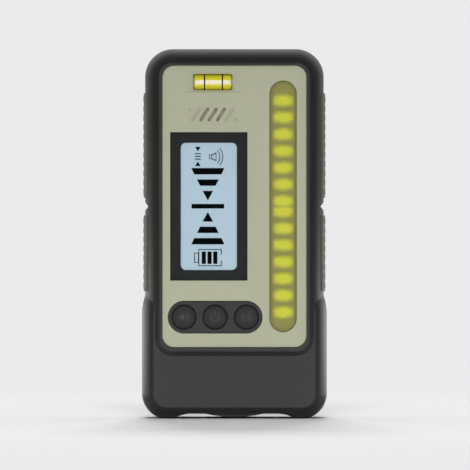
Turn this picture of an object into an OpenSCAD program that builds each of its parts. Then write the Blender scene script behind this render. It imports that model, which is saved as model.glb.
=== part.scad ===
// Laser receiver for surveying: shells, display, sensor strip, level vial, keys, battery bay and mount

/* [Body] */
// Overall height of the body
body_h = 150; // [130:1:170]
// Width across the upper body
upper_w = 72.5; // [66:0.5:82]
// Width across the lower boot
boot_w = 75; // [70:0.5:86]
// Depth from the bezel to the rear face
body_d = 30; // [27:0.5:35]
// Thickness of the side walls
side_wall = 3.2; // [3:0.1:3.4]
// Thickness of the rear wall
rear_wall = 2; // [1.6:0.1:2.4]
// Thickness of the base over its recess
base_wall = 3.5; // [3.2:0.1:4]
// Radius of the upper corners seen from the front
top_corner_r = 11.4; // [10:0.2:13]
// Radius of the lower corners seen from the front
boot_corner_r = 10.2; // [8:0.2:11]
// Depth of the rounded front and rear edges
edge_d = 6; // [4:0.5:7]
// Width of the rounded rear edge of the upper body
rear_edge_w = 6; // [4:0.5:7]
// Width of the rounded edge of the boot
boot_edge_w = 5; // [4:0.5:6]
// Height of the boot's straight sides
boot_h = 45.5; // [40:0.5:48]
// Height over which the boot narrows
boot_taper = 6; // [3:0.5:8]
// Drop of the lower panel behind the bezel
panel_drop = 0.8; // [0.4:0.1:1.2]
// Corner radius of the lower panel
panel_corner_r = 6.7; // [4:0.1:8]
// Height of the hollow under the base
base_recess_h = 2; // [1.8:0.1:2.4]
// Width of the flat part of that hollow
base_flat_w = 36; // [35.5:0.5:40]
// Depth of the flats under the two feet
foot_flat = 0.15; // [0.1:0.05:0.3]
// Depth of the side notches at the grade line
notch_depth = 1.25; // [0.8:0.05:1.4]
// Height of the side notches
notch_h = 3.5; // [2:0.1:4]

/* [Face plate] */
// Width of the bezel beside the face plate
bezel_w = 7; // [6:0.1:8]
// Width of the bezel above the face plate
bezel_top_w = 6.8; // [6:0.1:8]
// Height of the face plate's lower edge
plate_low = 29; // [26:0.5:31]
// Width of the flat land round the face plate
land_w = 0.8; // [0.6:0.1:1.2]
// Corner radius of the face plate
plate_corner_r = 4.8; // [3:0.1:6]
// Thickness of the face plate
plate_t = 1.6; // [1.5:0.1:2]
// Depth of the face plate below the bezel
plate_recess = 0.4; // [0.2:0.05:0.6]
// Thickness of the deck behind the face plate
deck_t = 1.6; // [1.4:0.1:2]

/* [Grips] */
// Distance of the upper grips below the top
grip_top = 18; // [15:0.5:24]
// Distance of the lower grips above the boot
grip_foot = 0.2; // [0.2:0.1:6]
// Gap between upper and lower grips
grip_gap = 7.2; // [6:0.1:9]
// Share of the body's depth that the grips cover
grip_share = 0.81; // [0.66:0.01:0.82]
// Rise of the ribs above the side wall
grip_proud = 0.75; // [0.5:0.05:1]
// Depth of the grips in the side wall
grip_seat = 1; // [0.7:0.05:1.2]
// Spacing of the ribs
rib_pitch = 3.75; // [3:0.05:5]
// Height of one rib
rib_w = 2.3; // [1.6:0.1:2.5]
// Depth between the ribs
rib_depth = 0.15; // [0.1:0.05:0.4]

/* [Display] */
// Distance of the display window from the plate's side
window_margin = 3.3; // [3:0.1:4]
// Distance of the display window from the plate's ends
window_end = 27.1; // [26.6:0.1:29]
// Distance of the display window from the sensor window
window_gap = 9.2; // [8:0.1:10]
// Thickness of the display window
window_t = 1.2; // [1:0.05:1.2]
// Thickness of the black mask behind the window
mask_t = 0.3; // [0.2:0.05:0.35]
// Width of the mask at the sides
mask_w = 4.2; // [3:0.1:5]
// Width of the mask at the ends
mask_end = 4.2; // [3:0.1:6]
// Corner radius of the viewing area
view_corner_r = 2.1; // [1:0.1:3]
// Ledge that carries the display window
window_ledge = 1.5; // [1.2:0.1:2]
// Thickness of the display glass
lcd_t = 2.2; // [1.8:0.1:2.6]
// Thickness of the backlight guide
guide_t = 2; // [1.6:0.1:2.4]
// Thickness of the connector strips
strip_t = 2; // [1.6:0.1:2.4]

/* [Sensor] */
// Width of the sensor window
sensor_w = 10.65; // [10.4:0.05:12.4]
// Distance of the sensor window from the plate's side
sensor_margin = 4.2; // [3.2:0.05:4.4]
// Distance of the sensor window from the plate's ends
sensor_end = 6.3; // [5:0.1:8]
// Depth of the sensor window below the plate
sensor_recess = 0.5; // [0.2:0.1:0.8]
// Width of the window's glued flange
sensor_flange = 0.9; // [0.7:0.1:1]
// Thickness of the window's flange
flange_t = 1.2; // [1:0.1:1.4]
// Photodiodes above and below the grade line
diode_rows = 7; // [4:1:7]
// Distance of the outer photodiodes from the window's ends
diode_end = 8; // [6:0.1:10]
// Distance of the middle two photodiodes
diode_center_gap = 4.6; // [4.5:0.1:5.6]
// Width of one photodiode
diode_w = 7.6; // [6:0.2:8]
// Height of one photodiode
diode_h = 3.8; // [3:0.1:3.9]
// Thickness of one photodiode
diode_t = 1.2; // [0.8:0.1:1.6]
// Depth of the baffle round the photodiodes
baffle_t = 3; // [2.4:0.1:3.2]
// Thickness of the sensor board
sensor_board_t = 1.2; // [0.8:0.1:1.4]

/* [Level vial] */
// Diameter of the vial tube
vial_d = 6.4; // [6:0.1:6.6]
// Length of the vial as a share of the display window's width
vial_share = 0.51; // [0.45:0.01:0.55]
// Sideways place of the vial and the sound slots from the display's middle
vial_shift = 1.6; // [0:0.1:2]
// Distance of the vial below the plate's top edge
vial_drop = 6.7; // [6:0.1:6.8]
// Wall of the vial tube
vial_wall = 0.8; // [0.6:0.1:1.2]
// Distance of the two black rings as a share of the vial's length
ring_share = 0.459; // [0.4:0.01:0.5]
// Width of a black ring
ring_w = 0.5; // [0.4:0.05:0.8]
// Thickness of a black ring
ring_t = 0.06; // [0.04:0.01:0.08]
// Length of an end plug
plug_l = 1.4; // [1:0.1:2]
// Length of the bubble as a share of the vial's length
bubble_share = 0.38; // [0.3:0.01:0.4]
// Diameter of the bubble
bubble_d = 3; // [2:0.1:3.2]
// Reach of the shallow scoop beside the vial
scoop_reach = 3.9; // [2.5:0.1:5]
// Height of the shallow scoop
scoop_h = 8.1; // [7.6:0.1:8.6]
// Depth of the shallow scoop
scoop_depth = 0.4; // [0.2:0.05:0.5]

/* [Sounder] */
// Distance of the sound slots below the plate's top edge
slot_drop = 19.9; // [19.4:0.1:20]
// Length of a sound slot
slot_l = 6.3; // [5:0.1:6.6]
// Width of a sound slot
slot_w = 1.35; // [1:0.05:1.5]
// Lean of the sound slots in degrees
slot_lean = 33; // [20:1:45]
// Spacing of the sound slots
slot_pitch = 3.4; // [3:0.05:3.6]
// Depth of the shallow marks beside the slots
mark_depth = 0.3; // [0.2:0.05:0.5]
// Diameter of the buzzer
buzzer_d = 12.6; // [12:0.1:12.8]
// Height of the buzzer
buzzer_h = 5; // [4:0.1:5.4]
// Thickness of the speaker mesh
mesh_t = 0.3; // [0.2:0.05:0.5]

/* [Keys] */
// Distance of the key plate from the face plate's side
pad_margin = 2.35; // [2:0.05:3]
// Distance of the key plate from the sensor window
pad_gap = 3.1; // [2:0.1:4]
// Gap between two buttons
key_space = 3; // [2:0.1:3.2]
// Margin of the key plate beyond the outer buttons
pad_end = 1.6; // [1.2:0.1:2]
// Margin of the key plate above and below the buttons
pad_rim = 1.7; // [1.2:0.05:1.8]
// Height of the buttons above the plate's lower edge
key_rise = 12.2; // [11:0.1:12.6]
// Depth of the key plate below the face plate
pad_recess = 0.1; // [0:0.05:0.3]
// Rise of a button's dome
dome_h = 0.6; // [0.3:0.1:0.9]
// Travel of a button
key_travel = 0.8; // [0.4:0.1:0.9]
// Clearance round a button
key_gap = 0.3; // [0.25:0.05:0.35]
// Width of a button's retaining rim
key_rim = 0.6; // [0.5:0.1:0.7]
// Thickness of that rim
key_rim_t = 1; // [0.8:0.1:1.2]
// Thickness of the key mat
mat_t = 0.8; // [0.5:0.1:1]
// Side of a switch case
switch_w = 6.2; // [5:0.1:7]
// Height of a switch case
switch_h = 3.6; // [3.2:0.1:3.8]
// Diameter of a switch plunger
plunger_d = 3.5; // [3:0.1:4]

/* [Boards] */
// Room between the deck and the main board
board_room = 6.8; // [6.6:0.1:7]
// Distance of the main board from the plate's sides
board_margin = 2.65; // [2.6:0.05:3]
// Distance of the main board from the plate's top edge
board_end = 5.2; // [5:0.1:6]
// Thickness of the main board
board_t = 1.6; // [1.2:0.1:1.8]
// Diameter of a board post
post_d = 4.4; // [4:0.1:4.4]

/* [Battery] */
// Diameter of a battery cell as a share of the body's depth
cell_share = 0.35; // [0.32:0.01:0.35]
// Length of a battery cell
cell_l = 44.5; // [43.5:0.1:45]
// Diameter of a cell's positive cap
cap_d = 3.8; // [3.2:0.1:4.5]
// Height of a cell's positive cap
cap_h = 0.8; // [0.5:0.1:1.2]
// Gap between the two cells
cell_gap = 1; // [0.6:0.1:1.5]
// Clearance round the cells
cell_clear = 0.35; // [0.2:0.05:0.4]
// Wall of the battery bay
bay_wall = 1.4; // [1:0.1:1.4]
// Thickness of the contacts
contact_t = 0.5; // [0.3:0.05:0.6]
// Length of a loaded contact spring
spring_l = 4; // [3.6:0.1:4.6]
// Wire diameter of a contact spring
spring_wire = 0.6; // [0.5:0.05:0.7]
// Turns of a contact spring
spring_turns = 2.25; // [1.5:0.25:2.25]
// Diameter of a contact spring at its plate
spring_d = 7; // [6:0.1:7.6]

/* [Door] */
// Width of the battery door
door_w = 35; // [33:0.5:35]
// Thickness of the battery door
door_t = 2; // [1.8:0.1:2.2]
// Gap round the battery door
door_gap = 0.2; // [0.15:0.05:0.3]
// Margin of the door above the battery bay
door_margin = 3; // [2.8:0.1:3.6]
// Radius of the hinge knuckles
hinge_r = 2; // [1.8:0.1:2.2]
// Diameter of the hinge pin
pin_d = 2; // [1.6:0.1:2]
// Length of the hinge pin
pin_l = 33; // [31:0.5:34]
// Length of a knuckle
knuckle_l = 6; // [5:0.2:7]
// Distance of the knuckles from the middle
knuckle_x = 11; // [10.6:0.1:11.4]
// Width of the door seal
seal_w = 1; // [0.8:0.1:1.1]
// Height of the door seal
seal_h = 0.8; // [0.6:0.1:1]
// Width of the latch's thumb lip
latch_w = 24.2; // [22:0.2:25]
// Length of the latch under the base
latch_l = 9.4; // [9:0.2:10]
// Clearance of the latch above the ground
latch_lift = 0.1; // [0.05:0.05:0.2]
// Thickness of the latch at the ends of its lip
latch_end_t = 0.3; // [0.2:0.05:0.6]

/* [Mount] */
// Bore of the threaded insert
mount_bore_d = 5.1; // [5:0.05:5.2]
// Outer diameter of the threaded insert
insert_d = 8.6; // [8:0.1:9.4]
// Length of the threaded insert
insert_l = 9; // [7:0.5:9.5]
// Distance of the locating sockets from the insert
socket_x = 13; // [12:0.5:16]
// Diameter of the locating sockets
socket_d = 4.2; // [3.6:0.1:4.6]
// Depth of the locating sockets
socket_depth = 3.2; // [2.5:0.1:4]

/* [Fasteners] */
// Diameter of the case screws
screw_d = 3; // [2.5:0.1:3]
// Head diameter of the case screws
screw_head_d = 5.2; // [4.6:0.1:5.4]
// Head height of the case screws
screw_head_h = 1.8; // [1.4:0.1:2.2]
// Depth of the case screws' head seats
screw_seat = 6; // [5:0.5:7]
// Thread length of the case screws in the front shell
screw_bite = 8; // [6:0.5:8.5]
// Diameter of the board screws
board_screw_d = 2; // [1.6:0.1:2.2]
// Head diameter of the board screws
board_head_d = 3.6; // [3.2:0.1:4]

/* [Hidden] */
$fn = 48;
// overrun of all cuts
over = 1;
// clearance of glued and seated pieces
fit = 0.1;
// running clearance of plungers, pins and screws
run = 0.05;
// clearance of the switch plungers
plunger_gap = 0.15;
// clearance of the screws in the rear shell
screw_gap = 0.2;
// depth to which bosses run into the walls
sink = 0.5;
edge_sweep = 70;
edge_steps = 6;
corner_steps = 8;
plate_top = body_h - bezel_top_w;
plate_h = plate_top - plate_low;
plate_w = upper_w - 2 * bezel_w;
// height of the on-grade line, which the display, the sensor, the notches and the mount share
grade_z = (plate_top + plate_low) / 2;
split_share = 0.5;
y_front = -body_d / 2;
y_rear = body_d / 2;
y_split = y_front + body_d * split_share;
y_plate = y_front + plate_recess;
y_deck = y_plate + plate_t;
y_deck_back = y_deck + deck_t;
y_board = y_deck_back + board_room;
y_board_back = y_board + board_t;
y_edge_front = y_front + edge_d;
y_edge_rear = y_rear - edge_d;
y_cavity_back = y_rear - rear_wall;
cavity_hw = upper_w / 2 - side_wall;
cavity_low = base_recess_h + base_wall;
cavity_top = body_h - side_wall;
cavity_r = top_corner_r - side_wall;
lobe_x = boot_w / 2 - boot_corner_r;
boot_top = boot_h + boot_taper;
pod_edge_w = bezel_w - land_w;
pod_low = plate_low - land_w - pod_edge_w;
pod_low_r = plate_corner_r + land_w + pod_edge_w;
// seal groove in the front shell's edge
groove_in = 0.6;
groove_w = 0.9;
groove_d = 0.8;
// grips
grip_d = body_d * grip_share;
upper_grip_z = grade_z + grip_gap / 2;
upper_grip_h = body_h - grip_top - upper_grip_z;
lower_grip_z = boot_top + grip_foot;
lower_grip_h = grade_z - grip_gap / 2 - lower_grip_z;
grip_steps = 12;
grip_ys = [for (i = [-grip_steps:grip_steps]) grip_d / 2 * i / grip_steps];
// sensor stack
sensor_h = plate_h - 2 * sensor_end;
sensor_x = plate_w / 2 - sensor_margin - sensor_w / 2;
diode_pitch = (sensor_h / 2 - diode_end - diode_center_gap / 2) / (diode_rows - 1);
y_sensor = y_plate + sensor_recess;
y_flange_back = y_deck_back + flange_t;
y_baffle_back = y_flange_back + baffle_t;
y_sensor_board_back = y_baffle_back + sensor_board_t;
flange_w = sensor_w + 2 * sensor_flange;
flange_h = sensor_h + 2 * sensor_flange;
header_l = 9;
header_h = 4;
header_shares = [0.25, 0.75];
cell_window_gap = 0.25;
// display stack
window_w = plate_w - window_margin - window_gap - sensor_w - sensor_margin;
window_h = plate_h - 2 * window_end;
window_x = window_margin + window_w / 2 - plate_w / 2;
window_face = mask_t + window_t;
view_w = window_w - 2 * mask_w;
view_h = window_h - 2 * mask_end;
lcd_w = window_w - 2 * window_ledge;
lcd_h = window_h - 2 * window_ledge;
strip_w = lcd_w - mask_w;
guide_h = lcd_h - 4 * strip_t;
y_lcd_back = y_deck + lcd_t;
y_guide_back = y_lcd_back + guide_t;
frame_wall = 1.5;
// vial
vial_x = window_x + vial_shift;
vial_z = plate_top - vial_drop;
vial_y = y_front + vial_d / 2;
vial_l = window_w * vial_share;
vial_bore_d = vial_d - 2 * vial_wall;
ring_gap = vial_l * ring_share;
bubble_l = vial_l * bubble_share;
scoop_l = vial_l + 2 * scoop_reach;
cradle_wall = 1.6;
cradle_l = vial_l + 2 * fit + 2 * cradle_wall;
cradle_h = vial_d + 2 * fit + 2 * cradle_wall;
y_cradle_back = vial_y + vial_d / 2 + cradle_wall;
vial_gap = ring_t + run;
// sounder
slot_z = plate_top - slot_drop;
mark_shares = [-2, 2];
dot_d = 0.9;
dot_x = 9.25;
dot_z = 1.9;
gasket_wall = 1.8;
y_buzzer = y_board - buzzer_h;
port_d = 2.4;
port_depth = 1.5;
// keys
pad_l = plate_w - pad_margin - pad_gap - sensor_w - sensor_margin;
key_pitch = (pad_l + key_space - 2 * pad_end) / 3;
key_d = key_pitch - key_space;
pad_h = key_d + 2 * pad_rim;
key_x = pad_margin + pad_l / 2 - plate_w / 2;
key_z = plate_low + key_rise;
y_pad = y_plate + pad_recess;
dome_r = (key_d * key_d / 4 + dome_h * dome_h) / (2 * dome_h);
key_rim_d = key_d + 2 * key_rim;
mat_hole_d = key_rim_d + 2 * fit;
mat_rim = 1;
mat_l = 2 * key_pitch + mat_hole_d + 2 * mat_rim;
mat_h = mat_hole_d + 2 * mat_rim;
stem_d = 4;
y_switch = y_board - switch_h;
plunger_rise = 1;
y_plunger = y_switch - plunger_rise;
plunger_depth = 1.6;
switch_hole_depth = plunger_depth + key_travel + plunger_gap;
key_places = [-1, 0, 1];
// main board
board_w = plate_w - 2 * board_margin;
board_low = plate_low + board_margin / 2;
board_top = plate_top - board_end;
board_h = board_top - board_low;
board_z = (board_low + board_top) / 2;
post_margin = 2.4;
post_left_x = post_margin - board_w / 2;
post_right_x = window_x + window_w / 2 + window_gap / 2;
post_low_left_z = plate_low + (window_end + key_rise + pad_h / 2) / 2 + post_margin / 4;
post_low_right_z = post_low_left_z + pad_h;
post_top_z = board_top - post_margin - run;
post_places = [[post_left_x, post_low_left_z], [post_right_x, post_low_right_z],
  [post_left_x, post_top_z], [post_right_x, post_top_z]];
board_screw_bite = 5;
board_head_h = 1.2;
chip_t = 1.4;
// places of the chips as shares of the board's width and height, and their widths and heights
chip_shares = [[-0.23, 0.15], [0.2, 0.25], [-0.3, -0.04], [0.36, 0.06], [0.34, -0.16], [0.24, 0.38]];
chip_sizes = [[12, 12], [7, 5], [5, 6], [6, 4], [4, 8], [8, 6]];
// battery bay
cell_d = body_d * cell_share;
bay_w = 2 * cell_d + cell_gap + 2 * cell_clear;
bay_low = cavity_low;
bay_l = cell_l + spring_l + 2 * contact_t;
bay_top = bay_low + bay_l;
y_door = y_rear - door_t;
cell_y = y_door - cell_clear - cell_d / 2;
y_bay = cell_y - cell_d / 2 - cell_clear;
cell_x = (cell_d + cell_gap) / 2;
contact_margin = 0.75;
contact_w = cell_d - 2 * contact_margin;
tail_w = 3;
spring_top_share = 0.62;
spring_lead = spring_wire;
// door and latch
hinge_z = bay_top + door_margin + hinge_r;
hinge_y = y_rear - hinge_r;
door_low = base_recess_h;
door_top = hinge_z - hinge_r - door_gap;
knuckle_gap = 0.5;
knuckle_side_gap = 0.2;
seal_off = 0.7;
toe_w = 20;
toe_h = 1;
toe_d = 2;
latch_gap = 0.2;
y_latch_rear = y_door + door_t / 4;
y_latch = y_latch_rear - latch_l;
hook_w = 12;
hook_h = 1.2;
hook_t = 1;
hook_gap = 0.3;
latch_t = base_recess_h - latch_lift - latch_gap;
lip_sag = latch_t - latch_end_t;
lip_r = (latch_w * latch_w / 4 + lip_sag * lip_sag) / (2 * lip_sag);
// mount
boss_wall = 2.4;
floor_t = 1.6;
// case screws
boss_front_d = 6;
boss_rear_d = 8;
boss_gap = 0.7;
screw_top_x = cavity_hw - cavity_r + boss_gap;
screw_low_x = cavity_hw - boss_rear_d / 2 + boss_gap / 2;
screw_top_z = cavity_top - boss_front_d / 2 - 3 * boss_gap;
screw_low_z = cavity_low + boss_front_d - boss_gap;
screw_places = [[screw_top_x, screw_top_z], [-screw_top_x, screw_top_z], [screw_low_x, screw_low_z],
  [-screw_low_x, screw_low_z]];
socket_share = 0.8;
y_seat = y_rear - screw_seat;
y_screw_tip = y_split - screw_bite;

// Flat shape in the front view, drawn out from depth y0 to depth y1
module slab(y0, y1) {
  translate([0, y1, 0]) rotate([90, 0, 0]) linear_extrude(y1 - y0) children();
}

// Round bar along the depth
module rod(x, z, y0, y1, d) {
  translate([x, y0, z]) rotate([-90, 0, 0]) cylinder(h = y1 - y0, d = d);
}

// Box between two depths, centred on x and z
module block(x, z, w, h, y0, y1) {
  translate([x - w / 2, y0, z - h / 2]) cube([w, y1 - y0, h]);
}

module rounded_rect(w, h, r) {
  square([w - 2 * r, h], center = true);
  square([w, h - 2 * r], center = true);
  for (sx = [-1, 1]) {
    for (sz = [-1, 1]) {
      translate([sx * (w / 2 - r), sz * (h / 2 - r)]) circle(r);
    }
  }
}

module stadium(w, h) {
  square([w - h, h], center = true);
  for (s = [-1, 1]) {
    translate([s * (w - h) / 2, 0]) circle(h / 2);
  }
}

function arc_points(c, r, a0, a1) = [for (i = [0:corner_steps])
  let(a = a0 + (a1 - a0) * i / corner_steps) [c[0] + r * cos(a), c[1] + r * sin(a)]];

function box_outline(hw, z0, z1, rb, rt) = concat(
  arc_points([hw - rb, z0 + rb], rb, -90, 0), arc_points([hw - rt, z1 - rt], rt, 0, 90),
  arc_points([rt - hw, z1 - rt], rt, 90, 180), arc_points([rb - hw, z0 + rb], rb, 180, 270));

function boot_outline(hw, hw_top, z0, r, z1, z2) = concat(
  arc_points([hw - r, z0 + r], r, -90, 0), [[hw, z1], [hw_top, z2], [-hw_top, z2], [-hw, z1]],
  arc_points([r - hw, z0 + r], r, 180, 270));

function full_outline(hw, hw_top, z0, r, z1, z2, z3, rt) = concat(
  arc_points([hw - r, z0 + r], r, -90, 0), [[hw, z1], [hw_top, z2]],
  arc_points([hw_top - rt, z3 - rt], rt, 0, 90), arc_points([rt - hw_top, z3 - rt], rt, 90, 180),
  [[-hw_top, z2], [-hw, z1]], arc_points([r - hw, z0 + r], r, 180, 270));

function blend(a, b, f) = [for (i = [0:len(a) - 1]) a[i] * (1 - f) + b[i] * f];

// Shares of the edge rounding at step i: inwards and in depth
function edge_angle(i) = edge_sweep * i / edge_steps;
function edge_in(i) = (1 - cos(edge_angle(i))) / (1 - cos(edge_sweep));
function edge_out(i) = sin(edge_angle(i)) / sin(edge_sweep);

// Solid through a row of outlines, each at its own depth
module skin(depths, outlines) {
  n = len(outlines[0]);
  m = len(depths);
  points = [for (k = [0:m - 1]) for (p = outlines[k]) [p[0], depths[k], p[1]]];
  sides = [for (k = [0:m - 2]) for (i = [0:n - 1]) let(j = (i + 1) % n, a = k * n, b = a + n)
    each [[a + i, a + j, b + j], [a + i, b + j, b + i]]];
  front = [[for (i = [0:n - 1]) n - 1 - i]];
  back = [[for (i = [0:n - 1]) (m - 1) * n + i]];
  polyhedron(points, concat(sides, front, back));
}

module pod_form() {
  outer = box_outline(upper_w / 2, pod_low, body_h, pod_low_r, top_corner_r);
  land_hw = plate_w / 2 + land_w;
  land_r = plate_corner_r + land_w;
  land = box_outline(land_hw, plate_low - land_w, plate_top + land_w, land_r, land_r);
  steps = [for (i = [0:edge_steps]) edge_steps - i];
  skin(concat([for (i = steps) y_edge_front - edge_d * edge_out(i)], [y_split]),
    concat([for (i = steps) blend(outer, land, edge_in(i))], [outer]));
}

module boot_form() {
  buried_hw = upper_w / 2 - land_w / 2;
  outer = boot_outline(boot_w / 2, buried_hw, -foot_flat, boot_corner_r, boot_h, boot_top);
  panel = boot_outline(boot_w / 2 - boot_edge_w, plate_w / 2, boot_edge_w, panel_corner_r, boot_h,
    boot_top);
  steps = [for (i = [0:edge_steps]) edge_steps - i];
  skin(concat([for (i = steps) y_edge_front - (edge_d - panel_drop) * edge_out(i)], [y_split]),
    concat([for (i = steps) blend(outer, panel, edge_in(i))], [outer]));
}

module rear_form() {
  outer = full_outline(boot_w / 2, upper_w / 2, -foot_flat, boot_corner_r, boot_h, boot_top,
    body_h, top_corner_r);
  flat = full_outline(boot_w / 2 - boot_edge_w, upper_w / 2 - rear_edge_w, boot_edge_w, panel_corner_r,
    boot_h, boot_top, body_h - rear_edge_w, top_corner_r / 2);
  skin(concat([y_split], [for (i = [0:edge_steps]) y_edge_rear + edge_d * edge_out(i)]),
    concat([outer], [for (i = [0:edge_steps]) blend(outer, flat, edge_in(i))]));
}

// Everything below the feet and the hollow between them
module base_cut() {
  steps = 10;
  half = base_flat_w / 2;
  run_in = [for (i = [0:steps]) [lobe_x - (lobe_x - half) * i / steps,
    base_recess_h * (1 - cos(180 * i / steps)) / 2]];
  left = [for (i = [0:steps]) [-run_in[i][0], run_in[i][1]]];
  right = [for (i = [0:steps]) run_in[steps - i]];
  slab(y_front - over, y_rear + over)
    polygon(concat([[-boot_w, -over], [-boot_w, 0]], left, right, [[boot_w, 0], [boot_w, -over]]));
}

// Side wall seen from above, set out by extra
function side_inset(y) = y < y_edge_front ? pod_edge_w * wall_share((y_edge_front - y) / edge_d)
  : y > y_edge_rear ? rear_edge_w * wall_share((y - y_edge_rear) / edge_d) : 0;
function wall_share(t) = (1 - cos(asin(t * sin(edge_sweep)))) / (1 - cos(edge_sweep));
function side_curve(extra) = [for (y = grip_ys) [upper_w / 2 + extra - side_inset(y), y]];

module grip_layer(outer_extra, z0, z1) {
  inner = side_curve(-grip_seat);
  outer = side_curve(outer_extra);
  back = [for (i = [1:len(outer)]) outer[len(outer) - i]];
  translate([0, 0, z0]) linear_extrude(z1 - z0) polygon(concat(inner, back));
}

module grip(z0, h) {
  count = floor((h - rib_w) / rib_pitch);
  margin = (h - rib_w - count * rib_pitch) / 2;
  grip_layer(grip_proud - rib_depth, z0, z0 + h);
  for (i = [0:count]) {
    grip_layer(grip_proud, z0 + margin + i * rib_pitch, z0 + margin + i * rib_pitch + rib_w);
  }
}

module grip_pocket(z0, h) {
  inner = side_curve(-grip_seat - fit);
  half = grip_d / 2 + fit;
  start = inner[0][0];
  far = upper_w;
  end = inner[len(inner) - 1][0];
  translate([0, 0, z0 - fit]) linear_extrude(h + 2 * fit)
    polygon(concat([[far, -half], [start, -half]], inner, [[end, half], [far, half]]));
}

module both_sides() {
  children();
  mirror([1, 0, 0]) children();
}

module side_cuts() {
  both_sides() grip_pocket(upper_grip_z, upper_grip_h);
  both_sides() grip_pocket(lower_grip_z, lower_grip_h);
  hw = upper_w / 2;
  slope = notch_h / 2 / notch_depth;
  both_sides() slab(y_front - over, y_rear + over)
    polygon([[hw - notch_depth, grade_z], [hw + over, grade_z - slope * (notch_depth + over)],
      [hw + over, grade_z + slope * (notch_depth + over)]]);
}

module cavity_shape() {
  translate([0, (cavity_low + cavity_top) / 2])
    rounded_rect(2 * cavity_hw, cavity_top - cavity_low, cavity_r);
}

// Flat band that follows the cavity's edge
module cavity_band(inner, outer) {
  mid = (cavity_low + cavity_top) / 2;
  h = cavity_top - cavity_low;
  difference() {
    translate([0, mid]) rounded_rect(2 * (cavity_hw + outer), h + 2 * outer, cavity_r + outer);
    translate([0, mid]) rounded_rect(2 * (cavity_hw + inner), h + 2 * inner, cavity_r + inner);
  }
}

module sensor_shape(grow) {
  translate([sensor_x, grade_z]) rotate(90) stadium(sensor_h + 2 * grow, sensor_w + 2 * grow);
}

module pad_shape(grow) {
  translate([key_x, key_z]) stadium(pad_l + 2 * grow, pad_h + 2 * grow);
}

module vial_shape() {
  translate([vial_x, vial_z]) square([vial_l + 2 * fit, vial_d + 2 * fit], center = true);
}

module slot_shape(i) {
  translate([vial_x + i * slot_pitch, slot_z]) rotate(90 - slot_lean) stadium(slot_l, slot_w);
}

module front_shell() color("dimgray") {
  difference() {
    union() {
      difference() {
        union() {
          pod_form();
          boot_form();
        }
        slab(y_deck_back, y_split + over) cavity_shape();
      }
      for (p = screw_places) rod(p[0], p[1], y_deck_back - sink, y_split, boss_front_d);
      for (p = post_places) rod(p[0], p[1], y_deck_back - sink, y_board, post_d);
    }
    base_cut();
    side_cuts();
    slab(y_front - over, y_deck) translate([0, grade_z])
      rounded_rect(plate_w + 2 * fit, plate_h + 2 * fit, plate_corner_r + fit);
    block(window_x, grade_z, lcd_w + 2 * fit, lcd_h + 2 * fit, y_deck - over, y_deck_back + over);
    slab(y_deck - over, y_deck_back + over) sensor_shape(fit);
    slab(y_deck - over, y_deck_back + over) vial_shape();
    for (i = [-1:1]) slab(y_deck - over, y_deck_back + over) slot_shape(i);
    for (i = key_places) {
      rod(key_x + i * key_pitch, key_z, y_deck - over, y_deck_back + over, key_d + 2 * key_gap);
    }
    for (p = screw_places) rod(p[0], p[1], y_screw_tip - sink, y_split + over, screw_d + 2 * run);
    for (p = post_places) {
      rod(p[0], p[1], y_board - board_screw_bite - sink, y_board + over, board_screw_d + 2 * run);
    }
    slab(y_split - groove_d, y_split + over) cavity_band(groove_in, groove_in + groove_w);
  }
}

module door_shape(grow) {
  h = door_top - door_low;
  translate([-door_w / 2 - grow, door_low - grow - over]) square([door_w + 2 * grow, h + 2 * grow + over]);
}

module hinge_rod(x, w, r) {
  translate([x - w / 2, hinge_y, hinge_z]) rotate([0, 90, 0]) cylinder(h = w, r = r);
}

// Room for the hinge above the door
module hinge_room() {
  w = door_w + 2 * door_gap;
  top = hinge_z + hinge_r + knuckle_gap;
  block(0, (door_top + top) / 2, w, top - door_top, y_door, y_rear + over);
}

// Half barrels of the rear shell between and beside the knuckles
module hinge_lugs() {
  inner = knuckle_x - knuckle_l / 2 - knuckle_side_gap;
  outer = knuckle_x + knuckle_l / 2 + knuckle_side_gap;
  hinge_rod(0, 2 * inner, hinge_r);
  for (s = [-1, 1]) hinge_rod(s * (outer + door_w / 2) / 2, door_w / 2 - outer, hinge_r);
}

// Case, bosses and battery bay of the rear shell before anything is cut
module rear_mass() {
  difference() {
    rear_form();
    slab(y_split - over, y_cavity_back) cavity_shape();
  }
  for (p = screw_places) rod(p[0], p[1], y_split, y_cavity_back + sink, boss_rear_d);
  block(0, bay_low + (bay_l + bay_wall) / 2 - sink, bay_w + 2 * bay_wall, bay_l + bay_wall + 2 * sink,
    y_bay - bay_wall, y_cavity_back + sink);
  block(0, hinge_z, door_w + 2 * bay_wall, 2 * (hinge_r + knuckle_gap + bay_wall),
    hinge_y - hinge_r - knuckle_gap - bay_wall, y_cavity_back + sink);
  block(0, (cavity_low + bay_top + door_margin) / 2 - sink, door_w + 2 * bay_wall,
    bay_top + door_margin - cavity_low + 2 * sink, y_door - bay_wall - seal_h, y_cavity_back + sink);
  rod(0, grade_z, y_rear - insert_l - floor_t, y_cavity_back + sink, insert_d + 2 * boss_wall);
  for (s = [-1, 1]) {
    rod(s * socket_x, grade_z, y_rear - socket_depth - floor_t, y_cavity_back + sink,
      socket_d + 2 * boss_wall);
  }
}

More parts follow.
